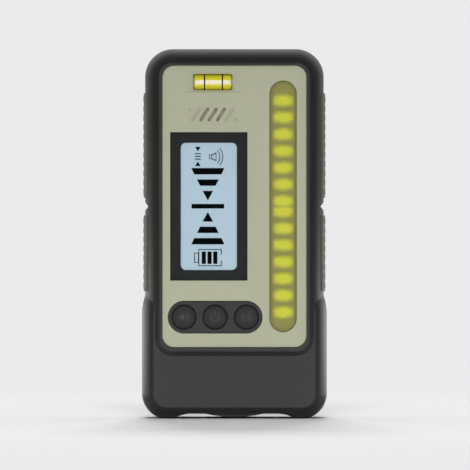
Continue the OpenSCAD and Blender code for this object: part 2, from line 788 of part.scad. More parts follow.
// Openings of the battery bay: door, hinge, contacts, seal, toe and latch hook
module bay_cuts() {
  slab(y_door, y_rear + over) door_shape(door_gap);
  hinge_room();
  block(0, bay_low + bay_l / 2, bay_w, bay_l, y_bay, y_rear + over);
  for (s = [-1, 1]) {
    block(s * cell_x, bay_top - contact_t / 2 - fit / 2, tail_w + 2 * fit, contact_t + fit,
      y_bay - bay_wall - over, y_bay + over);
  }
  seal_slab(y_door - seal_h, y_door + over, fit);
  block(0, base_recess_h + toe_h / 2 + latch_gap / 2 - over / 2, toe_w + 2 * latch_gap,
    toe_h + latch_gap + over, y_door - toe_d - latch_gap, y_rear + over);
  block(0, base_recess_h + (hook_h + hook_gap - over) / 2, hook_w + 2 * hook_gap,
    hook_h + hook_gap + over, y_latch + hook_t - hook_gap, y_latch + 2 * hook_t + hook_gap);
}

module rear_shell() color("dimgray") {
  difference() {
    union() {
      difference() {
        rear_mass();
        bay_cuts();
      }
      hinge_lugs();
    }
    base_cut();
    side_cuts();
    for (p = screw_places) {
      rod(p[0], p[1], y_split - over, y_rear + over, screw_d + 2 * screw_gap);
      rod(p[0], p[1], y_seat, y_rear + over, screw_head_d + 2 * screw_gap);
    }
    for (s = [-1, 1]) hinge_rod(s * knuckle_x, knuckle_l + 2 * knuckle_side_gap, hinge_r + knuckle_gap);
    hinge_rod(0, pin_l + 2 * run, pin_d / 2 + run);
    rod(0, grade_z, y_rear - insert_l, y_rear + over, insert_d + 2 * run);
    for (s = [-1, 1]) rod(s * socket_x, grade_z, y_rear - socket_depth, y_rear + over, socket_d);
  }
}

module shell_seal() color("black") {
  slab(y_split - groove_d, y_split) cavity_band(groove_in + run, groove_in + groove_w - run);
}

module face_plate() color("darkkhaki") {
  reach = vial_l / 2;
  difference() {
    slab(y_plate, y_deck) translate([0, grade_z]) rounded_rect(plate_w, plate_h, plate_corner_r);
    block(window_x, grade_z, window_w + 2 * fit, window_h + 2 * fit, y_plate - over, y_deck + over);
    slab(y_plate - over, y_deck + over) sensor_shape(fit);
    slab(y_plate - over, y_deck + over) pad_shape(fit);
    slab(y_plate - over, y_deck + over) vial_shape();
    for (i = [-1:1]) slab(y_plate - over, y_deck + over) slot_shape(i);
    for (i = mark_shares) slab(y_plate - over, y_plate + mark_depth) slot_shape(i);
    for (s = [-1, 1]) {
      rod(vial_x + s * dot_x, slot_z - s * dot_z, y_plate - over, y_plate + mark_depth, dot_d);
    }
    translate([vial_x, y_plate, vial_z - scoop_h / 2]) linear_extrude(scoop_h)
      polygon([[-scoop_l / 2, 0], [-scoop_l / 2, -over], [scoop_l / 2, -over], [scoop_l / 2, 0],
        [reach, scoop_depth], [-reach, scoop_depth]]);
  }
}

module left_upper_grip() color("gray") {
  mirror([1, 0, 0]) grip(upper_grip_z, upper_grip_h);
}

module left_lower_grip() color("gray") {
  mirror([1, 0, 0]) grip(lower_grip_z, lower_grip_h);
}

module right_upper_grip() color("gray") {
  grip(upper_grip_z, upper_grip_h);
}

module right_lower_grip() color("gray") {
  grip(lower_grip_z, lower_grip_h);
}

module display_window() color("silver") {
  block(window_x, grade_z, window_w, window_h, y_deck - window_face, y_deck - mask_t);
}

module display_mask() color("black") {
  slab(y_deck - mask_t, y_deck) difference() {
    translate([window_x, grade_z]) square([window_w, window_h], center = true);
    translate([window_x, grade_z]) rounded_rect(view_w, view_h, view_corner_r);
  }
}

module lcd_glass() color("lightsteelblue") {
  block(window_x, grade_z, lcd_w, lcd_h, y_deck, y_lcd_back);
}

module backlight_guide() color("white") {
  block(window_x, grade_z, lcd_w, guide_h, y_lcd_back, y_guide_back);
}

module lcd_frame() color("whitesmoke") {
  difference() {
    block(window_x, grade_z, lcd_w, guide_h, y_guide_back, y_board);
    block(window_x, grade_z, lcd_w - 2 * frame_wall, guide_h - 2 * frame_wall, y_guide_back - over,
      y_board + over);
  }
}

module lcd_strips() color("lightpink") {
  for (s = [-1, 1]) {
    block(window_x, grade_z + s * (lcd_h / 2 - strip_t / 2), strip_w, strip_t, y_lcd_back, y_board);
  }
}

module sensor_window() color("darkkhaki") {
  slab(y_sensor, y_deck_back) sensor_shape(0);
  slab(y_deck_back, y_flange_back) sensor_shape(sensor_flange);
}

function diode_z(s, i) = grade_z + s * (diode_center_gap / 2 + i * diode_pitch);

module sensor_baffle() color("khaki") {
  difference() {
    slab(y_flange_back, y_baffle_back) sensor_shape(sensor_flange);
    for (s = [-1, 1]) {
      for (i = [0:diode_rows - 1]) {
        block(sensor_x, diode_z(s, i), diode_w + 2 * cell_window_gap, diode_h + 2 * cell_window_gap,
          y_flange_back - over, y_baffle_back + over);
      }
    }
  }
}

module photodiodes() color("goldenrod") {
  for (s = [-1, 1]) {
    for (i = [0:diode_rows - 1]) {
      block(sensor_x, diode_z(s, i), diode_w, diode_h, y_baffle_back - diode_t, y_baffle_back);
    }
  }
}

module sensor_board() color("darkgreen") {
  block(sensor_x, grade_z, flange_w, flange_h, y_baffle_back, y_sensor_board_back);
}

module sensor_headers() color("black") {
  for (f = header_shares) {
    block(sensor_x, grade_z + (f - 0.5) * sensor_h, header_l, header_h, y_sensor_board_back, y_board);
  }
}

// Round bar along the width, centred on the vial
module vial_rod(x, l, d) {
  translate([vial_x + x - l / 2, vial_y, vial_z]) rotate([0, 90, 0]) cylinder(h = l, d = d);
}

module vial_tube() color("white") {
  difference() {
    vial_rod(0, vial_l, vial_d);
    vial_rod(0, vial_l + 2 * over, vial_bore_d);
  }
}

module vial_liquid() color("yellow") {
  lift = vial_bore_d / 2 - bubble_d / 3;
  difference() {
    vial_rod(0, vial_l - 2 * plug_l, vial_bore_d - 2 * run);
    translate([0, 0, lift]) vial_rod(0, bubble_l - bubble_d, bubble_d);
    for (s = [-1, 1]) {
      translate([vial_x + s * (bubble_l - bubble_d) / 2, vial_y, vial_z + lift]) sphere(d = bubble_d);
    }
  }
}

module vial_plugs() color("yellow") {
  for (s = [-1, 1]) vial_rod(s * (vial_l - plug_l) / 2, plug_l, vial_bore_d - 2 * run);
}

module vial_rings() color("black") {
  for (s = [-1, 1]) {
    difference() {
      vial_rod(s * ring_gap / 2, ring_w, vial_d + 2 * ring_t);
      vial_rod(s * ring_gap / 2, ring_w + 2 * over, vial_d + run / 2);
    }
  }
}

module vial_cradle() color("dimgray") {
  difference() {
    block(vial_x, vial_z, cradle_l, cradle_h, y_deck_back, y_cradle_back);
    vial_rod(0, vial_l + 2 * fit, vial_d + 2 * vial_gap);
    block(vial_x, vial_z, vial_l + 2 * fit, vial_d + 2 * vial_gap, y_deck_back - over, vial_y);
  }
}

module buzzer() color("black") {
  difference() {
    rod(vial_x, slot_z, y_buzzer, y_board, buzzer_d);
    rod(vial_x, slot_z, y_buzzer - over, y_buzzer + port_depth, port_d);
  }
}

module buzzer_gasket() color("darkslategray") {
  difference() {
    rod(vial_x, slot_z, y_deck_back + mesh_t, y_buzzer, buzzer_d);
    rod(vial_x, slot_z, y_deck_back - over, y_buzzer + over, buzzer_d - 2 * gasket_wall);
  }
}

module speaker_mesh() color("black") {
  rod(vial_x, slot_z, y_deck_back, y_deck_back + mesh_t, buzzer_d);
}

module key_plate() color("black") {
  difference() {
    slab(y_pad, y_deck) pad_shape(0);
    for (i = key_places) {
      rod(key_x + i * key_pitch, key_z, y_pad - over, y_deck + over, key_d + 2 * key_gap);
    }
  }
}

module key_mat() color("darkslategray") {
  difference() {
    slab(y_deck_back, y_deck_back + mat_t) translate([key_x, key_z]) stadium(mat_l, mat_h);
    for (i = key_places) {
      rod(key_x + i * key_pitch, key_z, y_deck_back - over, y_deck_back + mat_t + over, mat_hole_d);
    }
  }
}

module button(i) {
  x = key_x + i * key_pitch;
  intersection() {
    rod(x, key_z, y_pad - 2 * dome_h, y_deck_back, key_d);
    translate([x, y_pad - dome_h + dome_r, key_z]) sphere(dome_r, $fn = 96);
  }
  rod(x, key_z, y_deck_back, y_deck_back + key_rim_t, key_rim_d);
  rod(x, key_z, y_deck_back + key_rim_t, y_plunger, stem_d);
}

module plunger(i) {
  rod(key_x + i * key_pitch, key_z, y_plunger, y_switch + plunger_depth, plunger_d);
}

module sound_button() color("darkslategray") {
  button(-1);
}

module power_button() color("darkslategray") {
  button(0);
}

module precision_button() color("darkslategray") {
  button(1);
}

module sound_plunger() color("ivory") {
  plunger(-1);
}

module power_plunger() color("ivory") {
  plunger(0);
}

module precision_plunger() color("ivory") {
  plunger(1);
}

module key_switches() color("silver") {
  for (i = key_places) {
    x = key_x + i * key_pitch;
    difference() {
      block(x, key_z, switch_w, switch_w, y_switch, y_board);
      rod(x, key_z, y_switch - over, y_switch + switch_hole_depth, plunger_d + 2 * plunger_gap);
    }
  }
}

module main_board() color("darkgreen") {
  difference() {
    block(0, board_z, board_w, board_h, y_board, y_board_back);
    for (p = post_places) rod(p[0], p[1], y_board - over, y_board_back + over, board_screw_d + 2 * run);
  }
}

module board_chips() color("black") {
  for (i = [0:len(chip_sizes) - 1]) {
    block(chip_shares[i][0] * board_w, board_z + chip_shares[i][1] * board_h, chip_sizes[i][0],
      chip_sizes[i][1], y_board_back, y_board_back + chip_t);
  }
}

module board_screws() color("silver") {
  for (p = post_places) {
    rod(p[0], p[1], y_board_back, y_board_back + board_head_h, board_head_d);
    rod(p[0], p[1], y_board - board_screw_bite, y_board_back, board_screw_d);
  }
}

module case_screws() color("silver") {
  for (p = screw_places) {
    difference() {
      union() {
        rod(p[0], p[1], y_seat, y_seat + screw_head_h, screw_head_d);
        rod(p[0], p[1], y_screw_tip, y_seat, screw_d);
      }
      translate([p[0], y_seat + screw_head_h / 2, p[1]]) rotate([-90, 0, 0])
        cylinder(h = screw_head_h, d = screw_d * socket_share, $fn = 6);
    }
  }
}

module mount_insert() color("gold") {
  difference() {
    rod(0, grade_z, y_rear - insert_l, y_rear, insert_d);
    rod(0, grade_z, y_rear - insert_l - over, y_rear + over, mount_bore_d);
  }
}

module battery_door() color("dimgray") {
  difference() {
    union() {
      intersection() {
        rear_form();
        slab(y_door, y_rear + over) door_shape(0);
      }
      for (s = [-1, 1]) {
        hinge_rod(s * knuckle_x, knuckle_l, hinge_r);
        block(s * knuckle_x, hinge_z - (hinge_r + door_gap + sink) / 2, knuckle_l,
          hinge_r + door_gap + sink, y_door, y_rear);
      }
      block(0, base_recess_h + toe_h / 2, toe_w, toe_h, y_door - toe_d, y_door + sink);
    }
    base_cut();
    hinge_rod(0, 2 * door_w, pin_d / 2 + run);
  }
}

module door_latch() color("dimgray") {
  top = base_recess_h - latch_gap;
  intersection() {
    slab(y_latch, y_latch_rear) translate([0, latch_lift + lip_r]) circle(lip_r, $fn = 128);
    translate([-latch_w / 2, y_latch, 0]) cube([latch_w, latch_l, top]);
  }
  block(0, (top + base_recess_h) / 2 - latch_gap / 2, toe_w, 2 * latch_gap, y_door - toe_d, y_latch_rear);
  block(0, top + (hook_h - sink) / 2, hook_w, hook_h + sink, y_latch + hook_t, y_latch + 2 * hook_t);
}

module seal_slab(y0, y1, grow) {
  w = bay_w + 2 * seal_off + 2 * seal_w;
  h = bay_l + 2 * seal_off + 2 * seal_w;
  mid = bay_low + bay_l / 2;
  slab(y0, y1) difference() {
    translate([0, mid]) square([w + 2 * grow, h + 2 * grow], center = true);
    translate([0, mid]) square([w - 2 * seal_w - 2 * grow, h - 2 * seal_w - 2 * grow], center = true);
  }
}

module door_seal() color("black") {
  seal_slab(y_door - seal_h, y_door, 0);
}

module hinge_pin() color("silver") {
  hinge_rod(0, pin_l, pin_d / 2);
}

module cell(x, z, way) {
  can = cell_l - cap_h;
  translate([x, cell_y, z]) {
    translate([0, 0, way > 0 ? 0 : cap_h]) cylinder(h = can, d = cell_d);
    translate([0, 0, way > 0 ? can : 0]) cylinder(h = cap_h, d = cap_d);
  }
}

module battery_cells() color("slategray") {
  cell(-cell_x, bay_low + contact_t + spring_l, 1);
  cell(cell_x, bay_low + contact_t, -1);
}

module contact_plate(x) {
  block(x, bay_top - contact_t / 2, contact_w, contact_t, y_bay + fit, y_door - fit);
  block(x, bay_top - contact_t / 2, tail_w, contact_t, y_board_back, y_bay + sink);
}

module positive_contact() color("silver") {
  contact_plate(-cell_x);
}

module negative_contact() color("silver") {
  contact_plate(cell_x);
}

module bridge_contact() color("silver") {
  block(0, bay_low + contact_t / 2, 2 * cell_x + contact_w, contact_t, y_bay + fit, y_door - fit);
}

// Centre line of a contact spring: a straight lead at each end of a narrowing helix
function spring_point(t) = let(a = 360 * spring_turns * t,
  r = spring_d / 2 * (1 - t * (1 - spring_top_share)))
  [r * cos(a), r * sin(a), spring_lead + (spring_l - 2 * spring_lead) * t];
spring_steps = ceil(spring_turns * 8);
spring_path = concat([[spring_point(0)[0], spring_point(0)[1], 0]],
  [for (i = [0:spring_steps]) spring_point(i / spring_steps)],
  [[spring_point(1)[0], spring_point(1)[1], spring_l]]);
function unit(v) = v / norm(v);
function spring_ring(i) = let(n = len(spring_path), p = spring_path[i],
  ahead = unit(i < 1 || i > n - 2 ? [0, 0, 1] : spring_path[i + 1] - spring_path[i - 1]),
  side = unit(cross(ahead, [p[0], p[1], 0])), up = cross(side, ahead))
  [for (k = [0:5]) p + spring_wire / 2 * (cos(60 * k) * up + sin(60 * k) * side)];
spring_least_gap = min([for (i = [0:len(spring_path) - 7]) for (j = [i + 6:len(spring_path) - 1])
  norm(spring_path[i] - spring_path[j])]) - spring_wire;
echo(spring_least_gap = spring_least_gap);

module spring() {
  n = len(spring_path);
  points = [for (i = [0:n - 1]) each spring_ring(i)];
  sides = [for (i = [0:n - 2]) for (k = [0:5]) let(a = 6 * i, b = a + 6, l = (k + 1) % 6)
    each [[a + k, a + l, b + l], [a + k, b + l, b + k]]];
  last = 6 * (n - 1);
  caps = [for (k = [1:4]) each [[0, k + 1, k], [last, last + k, last + k + 1]]];
  polyhedron(points, concat(sides, caps));
}

module contact_springs() color("silver") {
  translate([-cell_x, cell_y, bay_low + contact_t]) spring();
  translate([cell_x, cell_y, bay_top - contact_t]) mirror([0, 0, 1]) spring();
}

front_shell();
rear_shell();
shell_seal();
face_plate();
left_upper_grip();
left_lower_grip();
right_upper_grip();
right_lower_grip();
display_window();
display_mask();
lcd_glass();
backlight_guide();
lcd_frame();
lcd_strips();
sensor_window();
sensor_baffle();
photodiodes();
sensor_board();
sensor_headers();
vial_tube();
vial_liquid();
vial_plugs();
vial_rings();
vial_cradle();
buzzer();
buzzer_gasket();
speaker_mesh();
key_plate();
key_mat();
sound_button();
power_button();
precision_button();
sound_plunger();
power_plunger();
precision_plunger();
key_switches();
main_board();
board_chips();
board_screws();
case_screws();
mount_insert();
battery_door();
door_latch();
door_seal();
hinge_pin();
battery_cells();
positive_contact();
negative_contact();
bridge_contact();
contact_springs();
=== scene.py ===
"""Looks of a laser receiver for surveying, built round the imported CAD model."""

import logging
import math
from dataclasses import dataclass, field
from enum import Enum
from typing import Any, Callable, Iterable, Optional, Sequence

import bmesh
import bpy
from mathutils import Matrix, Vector


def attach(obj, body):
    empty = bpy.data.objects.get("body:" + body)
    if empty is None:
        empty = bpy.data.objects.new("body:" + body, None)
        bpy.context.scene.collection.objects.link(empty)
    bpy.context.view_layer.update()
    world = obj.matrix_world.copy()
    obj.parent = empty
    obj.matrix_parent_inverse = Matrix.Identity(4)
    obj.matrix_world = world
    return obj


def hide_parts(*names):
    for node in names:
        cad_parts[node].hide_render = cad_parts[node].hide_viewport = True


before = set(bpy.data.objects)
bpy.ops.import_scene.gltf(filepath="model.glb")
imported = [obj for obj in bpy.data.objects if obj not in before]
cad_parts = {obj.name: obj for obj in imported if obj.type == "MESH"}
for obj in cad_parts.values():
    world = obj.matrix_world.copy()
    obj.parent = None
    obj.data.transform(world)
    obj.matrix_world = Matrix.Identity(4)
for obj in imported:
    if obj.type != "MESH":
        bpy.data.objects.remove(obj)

LOG = logging.getLogger("laser_receiver")
MM = 0.001
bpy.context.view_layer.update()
# Cosine above which a normal or an edge counts as lying along an axis
ALONG = 0.9
# How close to a plane a picked point or edge lies, in millimetres
NEAR = 0.02
# How far a cutter runs past the face that it cuts, in millimetres
PAST = 1.0
# Points that lie closer than this are merged, in millimetres
MERGE = 0.0005
# Angle through which the case's rounded edges sweep, and the steps of such an edge
SWEEP, SWEEP_STEPS = 70.0, 14
# Edges that bend more than this many degrees stay sharp
SHARP = 28.0
# Sides of a turned piece that shows, and of a small post or hole
TURNED_SIDES, ROD_SIDES = 64, 40

Pair = tuple[float, float]
Point = tuple[float, float, float]
# Left, low, right and high side of an area of the face
Area = tuple[float, float, float, float]
# Half width, depths and heights of a block
Slab = tuple[float, Pair, Pair]
# Radius of a rounding, and its faces
Round = tuple[float, int]
# Where a round bar starts and ends along its axis, and its radius
Rod = tuple[float, float, float]
# Distance along the axis and radius of each ring of a turned piece
Profile = Sequence[Pair]
# Whether a place and a normal or direction are the ones looked for
Test = Callable[[Vector, Vector], bool]
# Output sockets or plain values by the name or number of the input that takes them
Sockets = dict[str | int, Any]


class Axis(Enum):
    """Direction that a piece is turned about or cut across."""

    X = (1.0, 0.0, 0.0)
    Y = (0.0, 1.0, 0.0)
    Z = (0.0, 0.0, 1.0)


class Cut(Enum):
    """What a second mesh does to the first."""

    JOIN = "UNION"
    AWAY = "DIFFERENCE"
    COMMON = "INTERSECT"


class Pick(Enum):
    """Kind of mesh element that is selected."""

    POINTS = "VERT"
    EDGES = "EDGE"
    FACES = "FACE"


class Body(Enum):
    """CAD bodies that the pieces ride on."""

    HOUSING = "housing"
    DOOR = "door"
    SOUND = "sound_key"
    POWER = "power_key"
    PRECISION = "precision_key"


def grown(area: Area, by: float) -> Area:
    """Gives an area of the face that reaches further out on all sides."""
    left, low, right, high = area
    return left - by, low - by, right + by, high + by


def linear(colour: str) -> tuple[float, float, float, float]:
    """Turns an sRGB hex colour into linear values.

    Args:
        colour: Six hex digits after a hash sign.

    Returns:
        Red, green, blue and alpha.
    """
    parts = [int(colour[i : i + 2], 16) / 255 for i in (1, 3, 5)]
    red, green, blue = (p / 12.92 if p <= 0.04045 else ((p + 0.055) / 1.055) ** 2.4 for p in parts)
    return red, green, blue, 1.0


def plug(node: bpy.types.Node, sockets: Sockets) -> None:
    """Gives a node's inputs their links and values.

    Args:
        node: The node.
        sockets: Links and values of its inputs.
    """
    for name, value in sockets.items():
        if isinstance(value, bpy.types.NodeSocket):
            node.id_data.links.new(value, node.inputs[name])
        else:
            node.inputs[name].default_value = value


def add(tree: bpy.types.NodeTree, kind: str, sockets: Optional[Sockets] = None,
        **settings: Any) -> bpy.types.Node:
    """Adds a shader node with its settings and links.

    Args:
        tree: Node tree that takes the node.
        kind: Type name of the node.
        sockets: Links and values of its inputs.
        settings: Node properties, or input values with spaces written as underscores.

    Returns:
        The new node.
    """
    node = tree.nodes.new(kind)
    for name, value in settings.items():
        if hasattr(node, name):
            setattr(node, name, value)
        else:
            plug(node, {name.replace("_", " "): value})
    plug(node, sockets or {})
    return node


def blank_material(name: str) -> tuple[bpy.types.Material, bpy.types.NodeTree, bpy.types.Node,
                                       bpy.types.NodeSocket]:
    """Makes a material with a shader, an output and object coordinates.

    Args:
        name: Name of the material.

    Returns:
        The material, its node tree, its shader and the object coordinates' socket.
    """
    made = bpy.data.materials.new(name)
    made.use_nodes = True
    tree = made.node_tree
    tree.nodes.clear()
    shader = add(tree, "ShaderNodeBsdfPrincipled")
    add(tree, "ShaderNodeOutputMaterial", {"Surface": shader.outputs[0]})
    place = add(tree, "ShaderNodeTexCoord").outputs["Object"]
    return made, tree, shader, place


@dataclass(frozen=True)
class Moulding:
    """Moulded plastic or rubber: an even tone with faint flow marks and a fine tool grain."""

    name: str
    colour: str
    flow: str
    roughness: float
    grain_mm: float
    grain_depth: float
    flow_mm: float = 18.0
    ior: float = 1.5
    uneven: float = 0.06
    relief: float = 0.35

    def material(self) -> bpy.types.Material:
        """Builds the moulded finish.

        Returns:
            The material.
        """
        made, tree, shader, place = blank_material(self.name)
        flow = add(tree, "ShaderNodeTexNoise", {"Vector": place}, Scale=1 / (self.flow_mm * MM), Detail=3.0)
        tone = add(tree, "ShaderNodeMix", {"Factor": flow.outputs["Fac"], 6: linear(self.colour),
                                           7: linear(self.flow)}, data_type="RGBA")
        grain = add(tree, "ShaderNodeTexNoise", {"Vector": place}, Scale=1 / (self.grain_mm * MM), Detail=2.0)
        gloss = add(tree, "ShaderNodeMapRange", {"Value": grain.outputs["Fac"]},
                    To_Min=self.roughness - self.uneven, To_Max=self.roughness + self.uneven)
        bump = add(tree, "ShaderNodeBump", {"Height": grain.outputs["Fac"]}, Strength=self.relief,
                   Distance=self.grain_depth * MM)
        plug(shader, {"Base Color": tone.outputs[2], "Roughness": gloss.outputs[0],
                      "Normal": bump.outputs[0], "IOR": self.ior})
        return made


@dataclass(frozen=True)
class Metal:
    """Plated or turned metal: tool marks drawn out along one direction and faint tarnish."""

    name: str
    colour: str
    tarnish: str
    roughness: float
    mark_mm: float
    stretch: Point
    uneven: Pair = (0.08, 0.1)

    def material(self) -> bpy.types.Material:
        """Builds the metal finish.

        Returns:
            The material.
        """
        made, tree, shader, place = blank_material(self.name)
        drawn = add(tree, "ShaderNodeMapping", {"Vector": place}, Scale=tuple(1 / s for s in self.stretch))
        marks = add(tree, "ShaderNodeTexNoise", {"Vector": drawn.outputs[0]},
                    Scale=1 / (self.mark_mm * MM), Detail=3.0)
        tone = add(tree, "ShaderNodeMix", {"Factor": marks.outputs["Fac"], 6: linear(self.colour),
                                           7: linear(self.tarnish)}, data_type="RGBA")
        gloss = add(tree, "ShaderNodeMapRange", {"Value": marks.outputs["Fac"]},
                    To_Min=self.roughness - self.uneven[0], To_Max=self.roughness + self.uneven[1])
        plug(shader, {"Base Color": tone.outputs[2], "Roughness": gloss.outputs[0], "Metallic": 1.0})
        return made


@dataclass(frozen=True)
class SensorLens:
    """Tinted acrylic lens: yellow glow spots in front of the photodiodes, dull olive between them, and
    painted shade darkening it towards its rim.
    """

    name: str
    spot: str
    between: str
    # Colour of the painted shade at the rim
    edge: str
    middle: Pair
    first: float
    pitch: float
    spot_half: Pair
    half_w: float
    half_h: float
    last_spot: int = 6
    cloud_mm: float = 2.5
    ragged: float = 0.4
    glow: Pair = (0.6, 1.65)
    rim: Pair = (2.2, 0.2)
    roughness: float = 0.36
    ior: float = 1.3

    def material(self) -> bpy.types.Material:
        """Builds the lens finish from the distance to the nearest photodiode and to the rim; the darkening
        towards the rim is painted shade.

        Returns:
            The material.
        """
        made, tree, shader, place = blank_material(self.name)
        local = add(tree, "ShaderNodeMapping", {"Vector": place}, Scale=(1 / MM, 1 / MM, 1 / MM),
                    Location=(-self.middle[0], 0.0, -self.middle[1]))
        part = add(tree, "ShaderNodeSeparateXYZ", {"Vector": local.outputs[0]})
        across = add(tree, "ShaderNodeMath", {0: part.outputs["X"]}, operation="ABSOLUTE")
        along = add(tree, "ShaderNodeMath", {0: part.outputs["Z"]}, operation="ABSOLUTE")
        row = add(tree, "ShaderNodeMath", {0: along.outputs[0], 1: self.first}, operation="SUBTRACT")
        nearest = add(tree, "ShaderNodeMath", {0: row.outputs[0], 1: self.pitch / 2}, operation="PINGPONG")
        beyond = add(tree, "ShaderNodeMath", {0: row.outputs[0], 1: self.last_spot * self.pitch},
                     operation="SUBTRACT")
        off = add(tree, "ShaderNodeMath", {0: nearest.outputs[0], 1: beyond.outputs[0]}, operation="MAXIMUM")
        spot = add(tree, "ShaderNodeCombineXYZ", {"X": across.outputs[0], "Z": off.outputs[0]})
        oval = add(tree, "ShaderNodeMapping", {"Vector": spot.outputs[0]},
                   Scale=(1 / self.spot_half[0], 1.0, 1 / self.spot_half[1]))
        radius = add(tree, "ShaderNodeVectorMath", {0: oval.outputs[0]}, operation="LENGTH")
        cloud = add(tree, "ShaderNodeTexNoise", {"Vector": place}, Scale=1 / (self.cloud_mm * MM), Detail=2.0)
        ragged = add(tree, "ShaderNodeMath", {0: cloud.outputs["Fac"], 1: self.ragged,
                                              2: radius.outputs["Value"]}, operation="MULTIPLY_ADD")
        glow = add(tree, "ShaderNodeMapRange", {"Value": ragged.outputs[0]}, interpolation_type="SMOOTHSTEP",
                   From_Min=self.glow[0], From_Max=self.glow[1], To_Min=1.0, To_Max=0.0)
        tone = add(tree, "ShaderNodeMix", {"Factor": glow.outputs[0], 6: linear(self.between),
                                           7: linear(self.spot)}, data_type="RGBA")
        # Darker towards the rim, where the recess round the lens would shade it: painted shade
        end = add(tree, "ShaderNodeMath", {0: along.outputs[0], 1: self.half_h - self.half_w},
                  operation="SUBTRACT")
        inner = add(tree, "ShaderNodeMath", {0: end.outputs[0], 1: 0.0}, operation="MAXIMUM")
        spine = add(tree, "ShaderNodeCombineXYZ", {"X": across.outputs[0], "Z": inner.outputs[0]})
        reach = add(tree, "ShaderNodeVectorMath", {0: spine.outputs[0]}, operation="LENGTH")
        rim = add(tree, "ShaderNodeMapRange", {"Value": reach.outputs["Value"]},
                  interpolation_type="SMOOTHSTEP", From_Min=self.half_w - self.rim[0],
                  From_Max=self.half_w - self.rim[1])
        final = add(tree, "ShaderNodeMix", {"Factor": rim.outputs[0], 6: tone.outputs[2],
                                            7: linear(self.edge)}, data_type="RGBA")
        plug(shader, {"Base Color": final.outputs[2], "Roughness": self.roughness, "IOR": self.ior})
        return made


@dataclass(frozen=True)
class Banded:
    """A tone with a soft band of another tone at a fixed height: on a cell's wrap the band is print, in a
    vial it is a painted highlight.
    """

    name: str
    colour: str
    # On the vial, band is a painted highlight, dark and end are painted shade and glow is painted light; on
    # the cell wrap, band is print
    band: str
    dark: str
    height: float
    band_half: float
    fade: float
    reach: float
    roughness: float
    coat: float
    alpha: float = 1.0
    glow: float = 0.0
    span: Optional[Pair] = None
    end: str = "#000000"
    end_fade: float = 1.3
    sway: float = 0.3
    cloud_mm: float = 3.0

    def material(self) -> bpy.types.Material:
        """Builds the banded finish along the height, darker away from the band and towards the ends of a span
        across the width; on the vial these darkenings are painted shade and the emission is painted light.

        Returns:
            The material.
        """
        made, tree, shader, place = blank_material(self.name)
        part = add(tree, "ShaderNodeSeparateXYZ", {"Vector": place})
        cloud = add(tree, "ShaderNodeTexNoise", {"Vector": place}, Scale=1 / (self.cloud_mm * MM), Detail=2.0)
        sway = add(tree, "ShaderNodeMath", {0: cloud.outputs["Fac"], 1: self.sway * MM,
                                            2: -(self.height + self.sway / 2) * MM}, operation="MULTIPLY_ADD")
        off = add(tree, "ShaderNodeMath", {0: part.outputs["Z"], 1: sway.outputs[0]}, operation="ADD")
        size = add(tree, "ShaderNodeMath", {0: off.outputs[0]}, operation="ABSOLUTE")
        border = (self.band_half + self.fade) * MM
        # Inside the band the tone turns to the band's colour: on the vial a painted highlight along the
        # middle
        inside = add(tree, "ShaderNodeMapRange", {"Value": size.outputs[0]}, interpolation_type="SMOOTHSTEP",
                     From_Min=self.band_half * MM, From_Max=border, To_Min=1.0, To_Max=0.0)
        # Away from the band the tone darkens towards the top and bottom: on the vial this is painted shade
        outside = add(tree, "ShaderNodeMapRange", {"Value": size.outputs[0]},
                      interpolation_type="SMOOTHSTEP", From_Min=border, From_Max=self.reach * MM)
        edge = add(tree, "ShaderNodeMix", {"Factor": outside.outputs[0], 6: linear(self.colour),
                                           7: linear(self.dark)}, data_type="RGBA")
        tone = add(tree, "ShaderNodeMix", {"Factor": inside.outputs[0], 6: edge.outputs[2],
                                           7: linear(self.band)}, data_type="RGBA")
        # Towards the ends of the span the tone darkens further: painted shade at the vial's ends
        if self.span:
            centre, half = self.span
            aside = add(tree, "ShaderNodeMath", {0: part.outputs["X"], 1: centre * MM}, operation="SUBTRACT")
            far = add(tree, "ShaderNodeMath", {0: aside.outputs[0]}, operation="ABSOLUTE")
            cap = add(tree, "ShaderNodeMapRange", {"Value": far.outputs[0]}, interpolation_type="SMOOTHSTEP",
                      From_Min=(half - self.end_fade) * MM, From_Max=half * MM)
            tone = add(tree, "ShaderNodeMix", {"Factor": cap.outputs[0], 6: tone.outputs[2],
                                               7: linear(self.end)}, data_type="RGBA")
        # The emission makes the banded part glow: on the vial this is painted light
        plug(shader, {"Base Color": tone.outputs[2], "Emission Color": tone.outputs[2],
                      "Emission Strength": self.glow, "Roughness": self.roughness,
                      "Coat Weight": self.coat, "Alpha": self.alpha})
        return made


@dataclass(frozen=True)
class ClearSheet:
    """Clear acrylic: nearly all light passes, with a polished face and faint uneven haze."""

    name: str
    colour: str
    haze: float
    mirror: float
    roughness: float = 0.04
    cloud_mm: float = 9.0
    ior: float = 1.49
    haze_spread: Pair = (0.7, 1.3)
    smear: float = 1.6

    def material(self) -> bpy.types.Material:
        """Builds the clear finish with a little uneven haze.

        Returns:
            The material.
        """
        made, tree, shader, place = blank_material(self.name)
        cloud = add(tree, "ShaderNodeTexNoise", {"Vector": place}, Scale=1 / (self.cloud_mm * MM), Detail=2.0)
        film = add(tree, "ShaderNodeMapRange", {"Value": cloud.outputs["Fac"]},
                   To_Min=self.haze * self.haze_spread[0], To_Max=self.haze * self.haze_spread[1])
        shine = add(tree, "ShaderNodeMapRange", {"Value": cloud.outputs["Fac"]}, To_Min=self.roughness,
                    To_Max=self.roughness * self.smear)
        plug(shader, {"Base Color": linear(self.colour), "IOR": self.ior, "Specular IOR Level": self.mirror,
                      "Alpha": film.outputs[0], "Roughness": shine.outputs[0]})
        return made


